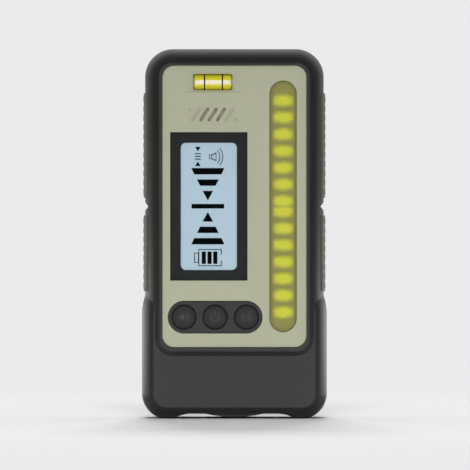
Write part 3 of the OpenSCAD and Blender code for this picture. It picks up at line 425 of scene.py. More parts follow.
@dataclass(frozen=True)
class Printed:
    """A board or grille whose face shows a regular pattern of dots in a second tone."""

    name: str
    colour: str
    mark: str
    pitch_mm: float
    share: float
    roughness: float
    stray: float = 0.35
    soft: float = 0.08

    def material(self) -> bpy.types.Material:
        """Builds the patterned finish from cells.

        Returns:
            The material.
        """
        made, tree, shader, place = blank_material(self.name)
        cells = add(tree, "ShaderNodeTexVoronoi", {"Vector": place}, Scale=1 / (self.pitch_mm * MM),
                    Randomness=self.stray)
        spot = add(tree, "ShaderNodeMapRange", {"Value": cells.outputs["Distance"]},
                   interpolation_type="SMOOTHSTEP", From_Min=self.share, From_Max=self.share + self.soft,
                   To_Min=1.0, To_Max=0.0)
        tone = add(tree, "ShaderNodeMix", {"Factor": spot.outputs[0], 6: linear(self.colour),
                                           7: linear(self.mark)}, data_type="RGBA")
        plug(shader, {"Base Color": tone.outputs[2], "Roughness": self.roughness})
        return made


Finish = Moulding | Metal | SensorLens | Banded | ClearSheet | Printed


class Workpiece:
    """One mesh under construction, shaped with Blender's modelling operators. Sizes are in millimetres."""

    def __init__(self, name: str) -> None:
        """Takes over the object that an operator has just made.

        Args:
            name: Name of the piece.
        """
        self.obj: bpy.types.Object = bpy.context.view_layer.objects.active
        self.obj.name = name
        self.obj.data.name = name

    @staticmethod
    def rest() -> None:
        """Leaves edit mode and deselects everything."""
        if bpy.context.mode != "OBJECT":
            bpy.ops.object.mode_set(mode="OBJECT")
        bpy.ops.object.select_all(action="DESELECT")

    @classmethod
    def block(cls, name: str, low: Point, high: Point) -> "Workpiece":
        """Starts from a cube between two corners.

        Args:
            name: Name of the piece.
            low: Lowest corner.
            high: Highest corner.

        Returns:
            The new piece.
        """
        cls.rest()
        first, last = Vector(low) * MM, Vector(high) * MM
        bpy.ops.mesh.primitive_cube_add(size=1, location=(first + last) / 2, scale=last - first)
        bpy.ops.object.transform_apply(location=True, rotation=True, scale=True)
        return cls(name)

    @classmethod
    def slab(cls, name: str, slab: Slab, x: float = 0.0) -> "Workpiece":
        """Starts from a cube that reaches as far to the left as to the right of a place."""
        half, (near, far), (low, high) = slab
        return cls.block(name, (x - half, near, low), (x + half, far, high))

    @classmethod
    def through(cls, name: str, area: Area, depth: Pair, grow: float = 0.0,
                corner: Optional[Round] = None) -> "Workpiece":
        """Starts from a cube over an area of the face.

        Args:
            name: Name of the piece.
            area: Area that it covers.
            depth: Depths at which it starts and ends.
            grow: How far it reaches past the area on all sides.
            corner: Rounding of the area's corners, unless they are sharp.

        Returns:
            The new piece.
        """
        left, low, right, high = grown(area, grow)
        piece = cls.block(name, (left, depth[0], low), (right, depth[1], high))
        if corner:
            piece.pick(Pick.EDGES, lambda p, d: abs(d.y) > ALONG).bevel(corner[0] + grow, corner[1])
        return piece

    @classmethod
    def turned(cls, name: str, axis: Axis, start: Point, profile: Profile,
               sides: int = TURNED_SIDES) -> "Workpiece":
        """Starts from a circle and draws it out ring by ring along an axis.

        Args:
            name: Name of the piece.
            axis: Axis of the turned shape.
            start: Point on the axis from which the profile is measured.
            profile: Distance along the axis and radius of each ring.
            sides: Corners of each ring.

        Returns:
            The new piece.
        """
        cls.rest()
        way = Vector(axis.value)
        turn = {Axis.X: (0, math.pi / 2, 0), Axis.Y: (-math.pi / 2, 0, 0), Axis.Z: (0, 0, 0)}[axis]
        along, radius = profile[0]
        bpy.ops.mesh.primitive_circle_add(vertices=sides, radius=radius * MM, fill_type="NGON",
                                          location=(Vector(start) + way * along) * MM, rotation=turn)
        bpy.ops.object.transform_apply(location=True, rotation=True, scale=True)
        piece = cls(name)
        piece.open()
        bpy.ops.mesh.select_mode(type="FACE")
        bpy.ops.mesh.select_all(action="SELECT")
        for next_along, next_radius in profile[1:]:
            piece.extrude(way * (next_along - along))
            along = next_along
            if next_radius != radius:
                piece.resize((next_radius / radius,) * 3, Vector(start) + way * along)
                radius = next_radius
        return piece.turn_outward()

    @classmethod
    def gather(cls, name: str, pieces: Iterable["Workpiece"]) -> "Workpiece":
        """Joins pieces into one mesh.

        Args:
            name: Name of the joined piece.
            pieces: Pieces to join, of which the first takes in the others.

        Returns:
            The joined piece.
        """
        cls.rest()
        objects = [piece.obj for piece in pieces]
        for obj in objects:
            obj.select_set(True)
        bpy.context.view_layer.objects.active = objects[0]
        if len(objects) > 1:
            bpy.ops.object.join()
        return cls(name)

    def alone(self) -> "Workpiece":
        """Makes this the only selected object.

        Returns:
            This piece.
        """
        self.rest()
        self.obj.select_set(True)
        bpy.context.view_layer.objects.active = self.obj
        return self

    def open(self) -> bmesh.types.BMesh:
        """Opens the mesh in edit mode with nothing selected.

        Returns:
            The mesh that is edited.
        """
        if bpy.context.mode != "EDIT_MESH" or bpy.context.view_layer.objects.active != self.obj:
            self.alone()
            bpy.ops.object.mode_set(mode="EDIT")
        bpy.ops.mesh.select_all(action="DESELECT")
        return bmesh.from_edit_mesh(self.obj.data)

    def pick(self, kind: Pick, test: Test) -> "Workpiece":
        """Selects the points, edges or faces that pass a test.

        Args:
            kind: What is selected.
            test: Takes a place in millimetres, and a normal or an edge's direction.

        Returns:
            This piece, open in edit mode.
        """
        mesh = self.open()
        bpy.ops.mesh.select_mode(type=kind.value)
        mesh.normal_update()
        if kind is Pick.POINTS:
            rows = [(v, v.co / MM, v.normal) for v in mesh.verts]
        elif kind is Pick.EDGES:
            ends = [(e, e.verts[0].co / MM, e.verts[1].co / MM) for e in mesh.edges]
            rows = [(e, (a + b) / 2, (b - a).normalized()) for e, a, b in ends]
        else:
            rows = [(f, f.calc_center_median() / MM, f.normal) for f in mesh.faces]
        for part, place, way in rows:
            if test(place, way):
                part.select_set(True)
        bmesh.update_edit_mesh(self.obj.data)
        return self

    def pick_border(self, front: float) -> "Workpiece":
        """Selects the edges round the front face, which lies at a given depth."""
        return self.pick(Pick.EDGES, lambda p, d: p.y < front + NEAR and abs(d.y) < 1 - ALONG)

    def bevel(self, width: float, sides: int) -> "Workpiece":
        """Rounds the picked edges."""
        bpy.ops.mesh.bevel(offset=width * MM, segments=sides, affect="EDGES", clamp_overlap=False)
        return self

    def inset(self, width: float, depth: float) -> "Workpiece":
        """Draws the picked faces in from their border and out along their normal."""
        bpy.ops.mesh.inset(thickness=width * MM, depth=depth * MM, use_even_offset=True)
        return self

    def frame_out(self, width: float) -> "Workpiece":
        """Takes out the middle of a flat piece, so that a frame is left.

        Args:
            width: Width of the frame.

        Returns:
            This piece.
        """
        self.pick(Pick.FACES, lambda p, n: abs(n.y) > ALONG).inset(width, 0)
        bpy.ops.mesh.bridge_edge_loops()
        return self

    def extrude(self, way: Sequence[float]) -> "Workpiece":
        """Draws the picked faces out."""
        bpy.ops.mesh.extrude_region_move(TRANSFORM_OT_translate={"value": Vector(way) * MM})
        return self

    def move(self, way: Sequence[float]) -> "Workpiece":
        """Moves what is picked."""
        bpy.ops.transform.translate(value=Vector(way) * MM)
        return self

    def resize(self, factors: Sequence[float], centre: Sequence[float]) -> "Workpiece":
        """Scales what is picked about a point."""
        bpy.ops.transform.resize(value=factors, center_override=Vector(centre) * MM)
        return self

    def slice(self, place: Point, axis: Axis) -> "Workpiece":
        """Cuts new edges where a plane across an axis meets the mesh.

        Args:
            place: A point of the plane.
            axis: Axis that the plane lies across.

        Returns:
            This piece.
        """
        self.open()
        bpy.ops.mesh.select_all(action="SELECT")
        bpy.ops.mesh.bisect(plane_co=Vector(place) * MM, plane_no=axis.value)
        return self

    def roll_over(self, width: float, depth: float) -> "Workpiece":
        """Rounds the border of the picked faces over in small steps.

        Args:
            width: How far the rounding comes in.
            depth: How far the face comes out.

        Returns:
            This piece.
        """
        last, whole = (0.0, 0.0), math.radians(SWEEP)
        for i in range(1, SWEEP_STEPS + 1):
            angle = whole * i / SWEEP_STEPS
            now = (width * (1 - math.cos(angle)) / (1 - math.cos(whole)),
                   depth * math.sin(angle) / math.sin(whole))
            self.inset(now[0] - last[0], now[1] - last[1])
            last = now
        return self

    def turn_outward(self) -> "Workpiece":
        """Merges doubled points and makes all faces point outwards.

        Returns:
            This piece.
        """
        self.open()
        bpy.ops.mesh.select_all(action="SELECT")
        bpy.ops.mesh.remove_doubles(threshold=MERGE * MM)
        bpy.ops.mesh.normals_make_consistent(inside=False)
        return self

    def combine(self, tools: Sequence["Workpiece"], how: Cut) -> "Workpiece":
        """Joins with, or is cut by, other meshes, which are used up.

        Args:
            tools: The other meshes.
            how: What they do.

        Returns:
            This piece.
        """
        tool = Workpiece.gather("tool", tools)
        self.alone()
        bpy.ops.object.modifier_add(type="BOOLEAN")
        step = self.obj.modifiers[-1]
        step.operation, step.object, step.solver = how.value, tool.obj, "EXACT"
        bpy.ops.object.modifier_apply(modifier=step.name)
        bpy.data.objects.remove(tool.obj)
        return self

    def copy(self, name: str, way: Sequence[float] = (0, 0, 0), flip: Optional[Point] = None,
             centre: Point = (0, 0, 0)) -> "Workpiece":
        """Copies the piece with a mesh of its own.

        Args:
            name: Name of the copy.
            way: How far the copy moves.
            flip: Factors of a mirrored copy.
            centre: Point that it is mirrored about.

        Returns:
            The copy.
        """
        self.alone()
        bpy.ops.object.duplicate()
        twin = Workpiece(name)
        twin.open()
        bpy.ops.mesh.select_all(action="SELECT")
        if flip:
            twin.resize(flip, centre)
            bpy.ops.mesh.normals_make_consistent(inside=False)
        return twin.move(way)

    def spin(self, degrees: float, axis: Axis, centre: Sequence[float]) -> "Workpiece":
        """Turns the whole piece about a point.

        Args:
            degrees: How far it turns.
            axis: Axis that it turns about.
            centre: The point.

        Returns:
            This piece.
        """
        self.open()
        bpy.ops.mesh.select_all(action="SELECT")
        bpy.ops.transform.rotate(value=math.radians(degrees), orient_axis=axis.name,
                                 center_override=Vector(centre) * MM)
        return self

    def soften(self, width: float, angle: float, sides: int = 2) -> "Workpiece":
        """Rounds the edges that bend more than an angle with an applied bevel.

        Args:
            width: Width of the rounding.
            angle: Least bend of a rounded edge in degrees.
            sides: Faces of each rounding.

        Returns:
            This piece.
        """
        self.alone()
        bpy.ops.object.modifier_add(type="BEVEL")
        step = self.obj.modifiers[-1]
        step.width, step.segments, step.limit_method = width * MM, sides, "ANGLE"
        step.angle_limit = math.radians(angle)
        bpy.ops.object.modifier_apply(modifier=step.name)
        return self

    def finish(self, name: str, body: Body, slot: str, look: bpy.types.Material,
               nodes: Sequence[str] = ()) -> None:
        """Names, smooths and paints the piece and hands it to its body.

        Args:
            name: Name of the finished piece.
            body: Body that it rides on.
            slot: Material slot of the record; not used.
            look: Material.
            nodes: CAD nodes that it stands for.
        """
        self.alone()
        self.obj.name = self.obj.data.name = name
        bpy.ops.object.shade_smooth_by_angle(angle=math.radians(SHARP))
        bpy.ops.object.modifier_add(type="WEIGHTED_NORMAL")
        step = self.obj.modifiers[-1]
        step.keep_sharp = True
        bpy.ops.object.modifier_apply(modifier=step.name)
        self.obj.data.materials.clear()
        self.obj.data.materials.append(look)
        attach(self.obj, body.value)
        if nodes:
            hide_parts(*nodes)
        LOG.info("%s: %d faces on %s", self.obj.name, len(self.obj.data.polygons), body.value)


@dataclass(frozen=True)
class Layout:
    """Sizes and places that several pieces share. A rounded edge has a width and a depth."""

    half_w: float = 36.25
    edge_y: float = 9.0
    front_edge: Pair = (6.2, 6.0)
    rear_edge: Pair = (6.0, 6.0)
    grade: float = 86.1
    fit: float = 0.1
    plate: Area = (-29.25, 29.0, 29.25, 143.2)
    plate_corner: Round = (4.8, 16)
    display: Area = (-25.95, 56.1, 5.2, 116.1)
    lens: Area = (14.4, 35.3, 25.05, 136.9)
    lens_corner: Round = (5.32, 24)
    keys: Area = (-26.9, 34.665, 11.3, 47.735)
    buttons: tuple[Pair, ...] = ((-20.467, 41.2), (-7.8, 41.2), (4.867, 41.2))
    button_hole: float = 5.133
    vial: Point = (-8.775, -11.8, 136.5)
    vial_room: float = 3.3
    slot_middle: Point = (-8.8, 0.0, 123.3)
    slot_half: Pair = (0.675, 3.15)
    slot_pitch: float = 3.4
    slot_lean: float = 33.0
    slot_corner: Round = (0.66825, 8)
    open_slots: tuple[int, ...] = (-1, 0, 1)
    screws: tuple[Pair, ...] = ((25.55, 141.7), (-25.55, 141.7), (29.4, 10.8), (-29.4, 10.8))
    hinge: Point = (0.0, 13.0, 60.0)
    barrel_r: float = 2.0
    cell_x: float = 5.75

    def over_vial(self, half: float) -> Area:
        """Gives the area of an opening over the vial from half of its width."""
        x, _, z = self.vial
        return x - half, z - self.vial_room, x + half, z + self.vial_room

    def slots(self, depth: Pair, steps: Iterable[int]) -> list[Workpiece]:
        """Makes leaning slots in front of the buzzer.

        Args:
            depth: Depths at which the slots start and end.
            steps: Places of the slots in steps of their pitch from the middle.

        Returns:
            The slots as solid bars.
        """
        (x, _, z), (half_w, half_l) = self.slot_middle, self.slot_half
        first = Workpiece.through("slot", (x - half_w, z - half_l, x + half_w, z + half_l), depth,
                                  corner=self.slot_corner)
        first.spin(-self.slot_lean, Axis.Y, self.slot_middle)
        bars = [first.copy("slot", (self.slot_pitch * step, 0, 0)) for step in steps]
        bpy.data.objects.remove(first.obj)
        return bars

    def hinge_bar(self, left: float, right: float, radius: float) -> Workpiece:
        """Makes a bar on the door's hinge axis between two places across the width."""
        return Workpiece.turned("barrel", Axis.X, self.hinge, [(left, radius), (right, radius)], ROD_SIDES)


LAYOUT = Layout()


def rods(places: Iterable[Pair], rod: Rod, sides: int = ROD_SIDES) -> list[Workpiece]:
    """Makes round bars along the depth, one at each place."""
    profile = [(rod[0], rod[2]), (rod[1], rod[2])]
    return [Workpiece.turned("rod", Axis.Y, (x, 0, z), profile, sides) for x, z in places]


def ring(axis: Axis, centre: Point, span: Pair, radius: float, width: float) -> Workpiece:
    """Makes a ring about an axis.

    Args:
        axis: Direction of the axis.
        centre: Point on the axis.
        span: Where the ring starts and ends along the axis.
        radius: Middle radius.
        width: Width of the ring across its radius.

    Returns:
        The ring.
    """
    outer, inner = radius + width / 2, radius - width / 2
    made = Workpiece.turned("ring", axis, centre, [(span[0], outer), (span[1], outer)])
    bore = Workpiece.turned("bore", axis, centre, [(span[0] - PAST, inner), (span[1] + PAST, inner)])
    return made.combine([bore], Cut.AWAY)


@dataclass
class Grips:
    """Four ribbed soft strips let into the sides, two above and two below the grade notches."""

    half_d: float = 12.15
    seat: float = 1.0
    base: float = 0.6
    clear: float = 8.0
    bends: int = 5
    rib_rise: float = 0.15
    rib_h: float = 2.3
    pitch: float = 3.75
    rib_round: float = 0.07
    rib_angle: float = 35.0
    outward: float = 0.5
    spans: tuple[Pair, ...] = ((89.7, 132.0), (51.7, 82.5))

    def sunk(self, y: float) -> float:
        """Gives how far the rounded side has come in at a depth.

        Args:
            y: The depth.

        Returns:
            The distance from the flat wall.
        """
        over = abs(y) - LAYOUT.edge_y
        if over <= 0:
            return 0.0
        width, depth = LAYOUT.front_edge if y < 0 else LAYOUT.rear_edge
        whole = math.radians(SWEEP)
        angle = math.asin(over / depth * math.sin(whole))
        return width * (1 - math.cos(angle)) / (1 - math.cos(whole))

    def strip(self, reach: Pair, half_d: float, rise: Pair) -> Workpiece:
        """Makes a strip of the right side that follows its rounding.

        Args:
            reach: Places of its inner and outer face from the wall.
            half_d: Half of its depth.
            rise: Heights of its lower and upper end.

        Returns:
            The strip.
        """
        wall, edge = LAYOUT.half_w, LAYOUT.edge_y
        strip = Workpiece.block("strip", (wall + reach[0], -half_d, rise[0]),
                                (wall + reach[1], half_d, rise[1]))
        places = [edge + (half_d - edge) * i / self.bends for i in range(1, self.bends)]
        for y in [*places, edge]:
            strip.slice((0, y, 0), Axis.Y).slice((0, -y, 0), Axis.Y)
        for y in [*places, half_d]:
            for way in (-1, 1):
                strip.pick(Pick.POINTS, lambda p, n, y=y, way=way: abs(p.y - way * y) < NEAR)
                strip.move((-self.sunk(way * y), 0, 0))
        return strip

    def seats(self) -> list[Workpiece]:
        """Makes the cutters for the seats of all four strips.

        Returns:
            The cutters.
        """
        made = []
        for low, high in self.spans:
            right = self.strip((-self.seat - LAYOUT.fit, self.clear), self.half_d + LAYOUT.fit,
                               (low - LAYOUT.fit, high + LAYOUT.fit))
            made += [right, right.copy("seat", flip=(-1, 1, 1))]
        return made

    def build(self, look: bpy.types.Material) -> None:
        """Models one strip of each height, mirrors it and dresses them.

        Args:
            look: Material of the strips.
        """
        for name, (low, high) in zip(("upper", "lower"), self.spans):
            count = int((high - low - self.rib_h) / self.pitch)
            first = low + (high - low - self.rib_h - count * self.pitch) / 2
            strip = self.strip((-self.seat, self.base), self.half_d, (low, high))
            ribs = [(first + i * self.pitch, first + i * self.pitch + self.rib_h) for i in range(count + 1)]
            for foot, head in ribs:
                strip.slice((0, 0, foot), Axis.Z).slice((0, 0, head), Axis.Z)
            # Faces that look outwards, also where they lean with the rounding
            strip.pick(Pick.FACES, lambda p, n: n.x > self.outward and any(a < p.z < b for a, b in ribs))
            strip.extrude((self.rib_rise, 0, 0)).turn_outward().soften(self.rib_round, self.rib_angle)
            left = strip.copy("strip", flip=(-1, 1, 1))
            strip.finish(f"grip_right_{name}", Body.HOUSING, "grip", look, [f"right_{name}_grip"])
            left.finish(f"grip_left_{name}", Body.HOUSING, "grip", look, [f"left_{name}_grip"])


@dataclass
class Case:
    """Two-part case: a rounded upper body over a wider boot, hollowed for the insides.

    The boot's top has half a width and a height, and a notch has a depth and half a height.
    """

    height: float = 150.0
    top_corner: Round = (11.4, 24)
    front_low: float = 21.5
    rear_low: float = 30.0
    parting: float = 0.3
    boot_half: float = 37.5
    boot_low: float = -0.15
    boot_corner: Round = (10.2, 24)
    boot_side: float = 45.5
    boot_side_corner: Round = (3.0, 6)
    boot_top: Pair = (31.86, 66.0)
    front_boot_edge: Pair = (5.0, 5.2)
    rear_boot_edge: Pair = (5.0, 5.98)
    hollow: Slab = (60.0, (-31.0, 31.0), (-5.0, 2.0))
    hollow_half: float = 18.0
    hollow_steps: int = 10
    lobe: float = 27.3
    notch: Pair = (1.25, 1.75)
    notch_tip: float = 0.004
    cavity: Area = (-33.05, 5.5, 33.05, 146.8)
    cavity_corner: Round = (8.2, 12)
    front_wall: float = -11.4
    rear_wall: float = 13.0
    pocket: Pair = (-17.0, -13.0)
    opening: Pair = (-14.0, -10.0)
    glass_seat: float = 1.4
    vial_half: float = 8.045
    groove_floor: float = -0.8
    groove_reach: float = 1.5
    groove_w: float = 0.9
    screw_post: Rod = (-11.9, 0.0, 3.0)
    screw_hole: Rod = (-8.5, 1.0, 1.55)
    board_places: tuple[Pair, ...] = ((-24.2, 52.52), (9.8, 65.58), (-24.2, 135.55), (9.8, 135.55))
    board_post: Rod = (-11.9, -4.6, 2.2)
    board_hole: Rod = (-10.1, -3.6, 1.05)
    screw_tower: Rod = (0.0, 13.5, 4.0)
    screw_seat: Profile = ((-1.0, 1.7), (9.0, 1.7), (9.0, 2.8), (16.0, 2.8))
    insert_place: Pair = (0.0, LAYOUT.grade)
    insert_tower: Rod = (4.4, 13.5, 6.7)
    insert_hole: Rod = (6.0, 16.0, 4.35)
    socket_places: tuple[Pair, ...] = ((-13.0, LAYOUT.grade), (13.0, LAYOUT.grade))
    socket_tower: Rod = (10.2, 13.5, 4.5)
    socket_hole: Rod = (11.8, 16.0, 2.1)
    bay_wall: Slab = (12.75, (0.4, 13.5), (4.5, 56.4))
    hinge_wall: Slab = (18.9, (9.1, 13.4), (56.1, 63.9))
    ledge: Slab = (18.8, (10.8, 13.45), (4.4, 58.0))
    door_room: Slab = (17.7, (13.0, 17.0), (0.8, 62.5))
    contact_room: Slab = (1.6, (-0.6, 2.8), (54.4, 55.0))
    hook_room: Slab = (6.3, (4.8, 6.4), (1.0, 3.5))
    seal_room: Slab = (13.15, (12.2, 14.0), (3.7, 56.8))
    seal_w: float = 1.2
    cell_room: Slab = (11.35, (1.8, 17.0), (5.5, 55.0))
    toe_room: Slab = (10.2, (10.8, 17.0), (1.0, 3.2))
    barrels: tuple[Pair, ...] = ((-7.8, 7.8), (14.2, 17.5), (-17.5, -14.2))
    knuckle_room: Profile = ((-16.55, 1.05), (-14.2, 1.05), (-14.2, 2.5), (-7.8, 2.5), (-7.8, 1.05))
    grips: Grips = field(default_factory=Grips)

    def form(self, side: int) -> Workpiece:
        """Makes one half's outer form without any cuts.

        Args:
            side: -1 for the front half and 1 for the rear half.

        Returns:
            The closed form.
        """
        low = self.front_low if side < 0 else self.rear_low
        edge = LAYOUT.front_edge if side < 0 else LAYOUT.rear_edge
        boot_edge = self.front_boot_edge if side < 0 else self.rear_boot_edge
        depth = tuple(sorted((side * self.parting, side * LAYOUT.edge_y)))
        upper = Workpiece.slab("form", (LAYOUT.half_w, depth, (low, self.height)))
        upper.pick(Pick.EDGES, lambda p, d: abs(d.y) > ALONG).bevel(*self.top_corner)
        boot = Workpiece.slab("boot", (self.boot_half, depth, (self.boot_low, self.boot_top[1])))
        boot.slice((0, 0, self.boot_side), Axis.Z)
        boot.pick(Pick.POINTS, lambda p, n: p.z > self.boot_top[1] - NEAR)
        boot.resize((self.boot_top[0] / self.boot_half, 1, 1), (0, 0, 0))
        for way in (-1, 1):
            boot.pick(Pick.FACES, lambda p, n, way=way: n.y * way > ALONG)
            bpy.ops.mesh.dissolve_faces()
        for z, corner in ((self.boot_low, self.boot_corner), (self.boot_side, self.boot_side_corner)):
            boot.pick(Pick.EDGES, lambda p, d, z=z: abs(d.y) > ALONG and abs(p.z - z) < NEAR).bevel(*corner)
        for piece, rounding in ((upper, edge), (boot, boot_edge)):
            piece.pick(Pick.FACES, lambda p, n: n.y * side > ALONG).roll_over(*rounding)
            piece.pick(Pick.FACES, lambda p, n: n.y * side < -ALONG).inset(self.parting, self.parting)
        return upper.combine([boot], Cut.JOIN)

    def outer_cuts(self) -> list[Workpiece]:
        """Makes the hollow under the base, the grade notches and the seats of the grips.

        Returns:
            The cutters.
        """
        _, (near, far), (foot, roof) = self.hollow
        hollow = Workpiece.slab("hollow", self.hollow)
        steps = self.hollow_steps
        places = [self.lobe - (self.lobe - self.hollow_half) * i / steps for i in range(steps + 1)]
        for x in places:
            hollow.slice((x, 0, 0), Axis.X).slice((-x, 0, 0), Axis.X)
        for i, x in enumerate(places[:-1]):
            drop = roof * (1 + math.cos(math.pi * i / steps)) / 2
            hollow.pick(Pick.POINTS, lambda p, n, x=x, i=i: p.z > foot + NEAR and (
                abs(abs(p.x) - x) < NEAR or i == 0 and abs(p.x) > x)).move((0, 0, -drop))
        notches = []
        wall, grade, (inward, half_h) = LAYOUT.half_w, LAYOUT.grade, self.notch
        for way in (-1, 1):
            inner, outer = sorted((way * (wall - inward), way * (wall + PAST)))
            reach = half_h / inward * (inward + PAST)
            notch = Workpiece.block("notch", (inner, near, grade - reach), (outer, far, grade + reach))
            notch.pick(Pick.POINTS, lambda p, n, way=way: p.x * way < wall)
            notch.resize((1, 1, self.notch_tip), (0, 0, grade))
            notches.append(notch)
        return [hollow, *notches, *self.grips.seats()]

    def inner_space(self, near: float, far: float, grow: float = 0.0) -> Workpiece:
        """Makes the rounded block that fills the case's inside between two depths."""
        return Workpiece.through("inside", self.cavity, (near, far), grow, self.cavity_corner)

    def build_front(self, look: bpy.types.Material) -> None:
        """Models and dresses the front half.

        Args:
            look: Material of the case.
        """
        shell = self.form(-1)
        shell.combine([self.inner_space(self.front_wall, PAST)], Cut.AWAY)
        shell.combine([*rods(LAYOUT.screws, self.screw_post), *rods(self.board_places, self.board_post)],
                      Cut.JOIN)
        groove = self.inner_space(self.groove_floor, PAST, self.groove_reach).frame_out(self.groove_w)
        pocket = Workpiece.through("pocket", LAYOUT.plate, self.pocket, LAYOUT.fit, LAYOUT.plate_corner)
        shell.combine([pocket, groove, *self.outer_cuts()], Cut.AWAY)
        shell.combine([
            Workpiece.through("display", LAYOUT.display, self.opening, -self.glass_seat),
            Workpiece.through("lens", LAYOUT.lens, self.opening, LAYOUT.fit, LAYOUT.lens_corner),
            Workpiece.through("vial", LAYOUT.over_vial(self.vial_half), self.opening),
            *LAYOUT.slots(self.opening, LAYOUT.open_slots),
            *rods(LAYOUT.buttons, (*self.opening, LAYOUT.button_hole), TURNED_SIDES),
            *rods(LAYOUT.screws, self.screw_hole),
            *rods(self.board_places, self.board_hole),
        ], Cut.AWAY)
        shell.turn_outward().finish("case_front", Body.HOUSING, "case", look, ["front_shell"])

    def build_rear(self, look: bpy.types.Material) -> None:
        """Models and dresses the rear half with its battery bay, hinge barrels and mount.

        Args:
            look: Material of the case.
        """
        shell = self.form(1)
        shell.combine([self.inner_space(-PAST, self.rear_wall)], Cut.AWAY)
        shell.combine([
            *rods(LAYOUT.screws, self.screw_tower),
            *rods([self.insert_place], self.insert_tower),
            *rods(self.socket_places, self.socket_tower),
            Workpiece.slab("bay", self.bay_wall),
        ], Cut.JOIN)
        for wall in (self.hinge_wall, self.ledge):
            shell.combine([Workpiece.slab("wall", wall)], Cut.JOIN)
        shell.combine([
            Workpiece.slab("door", self.door_room),
            *(Workpiece.slab("contact", self.contact_room, x) for x in (-LAYOUT.cell_x, LAYOUT.cell_x)),
            Workpiece.slab("hook", self.hook_room),
        ], Cut.AWAY)
        shell.combine([
            Workpiece.slab("seal", self.seal_room).frame_out(self.seal_w),
            Workpiece.slab("cells", self.cell_room),
            Workpiece.slab("toe", self.toe_room),
        ], Cut.AWAY)
        shell.combine([LAYOUT.hinge_bar(*span, LAYOUT.barrel_r) for span in self.barrels], Cut.JOIN)
        shell.combine(self.outer_cuts(), Cut.AWAY)
        room = [*self.knuckle_room, *((-x, r) for x, r in reversed(self.knuckle_room))]
        shell.combine([
            *(Workpiece.turned("seat", Axis.Y, (x, 0, z), self.screw_seat, ROD_SIDES)
              for x, z in LAYOUT.screws),
            Workpiece.turned("knuckles", Axis.X, LAYOUT.hinge, room, ROD_SIDES),
            *rods([self.insert_place], self.insert_hole, TURNED_SIDES),
            *rods(self.socket_places, self.socket_hole),
        ], Cut.AWAY)
        shell.turn_outward().finish("case_rear", Body.HOUSING, "case", look, ["rear_shell"])


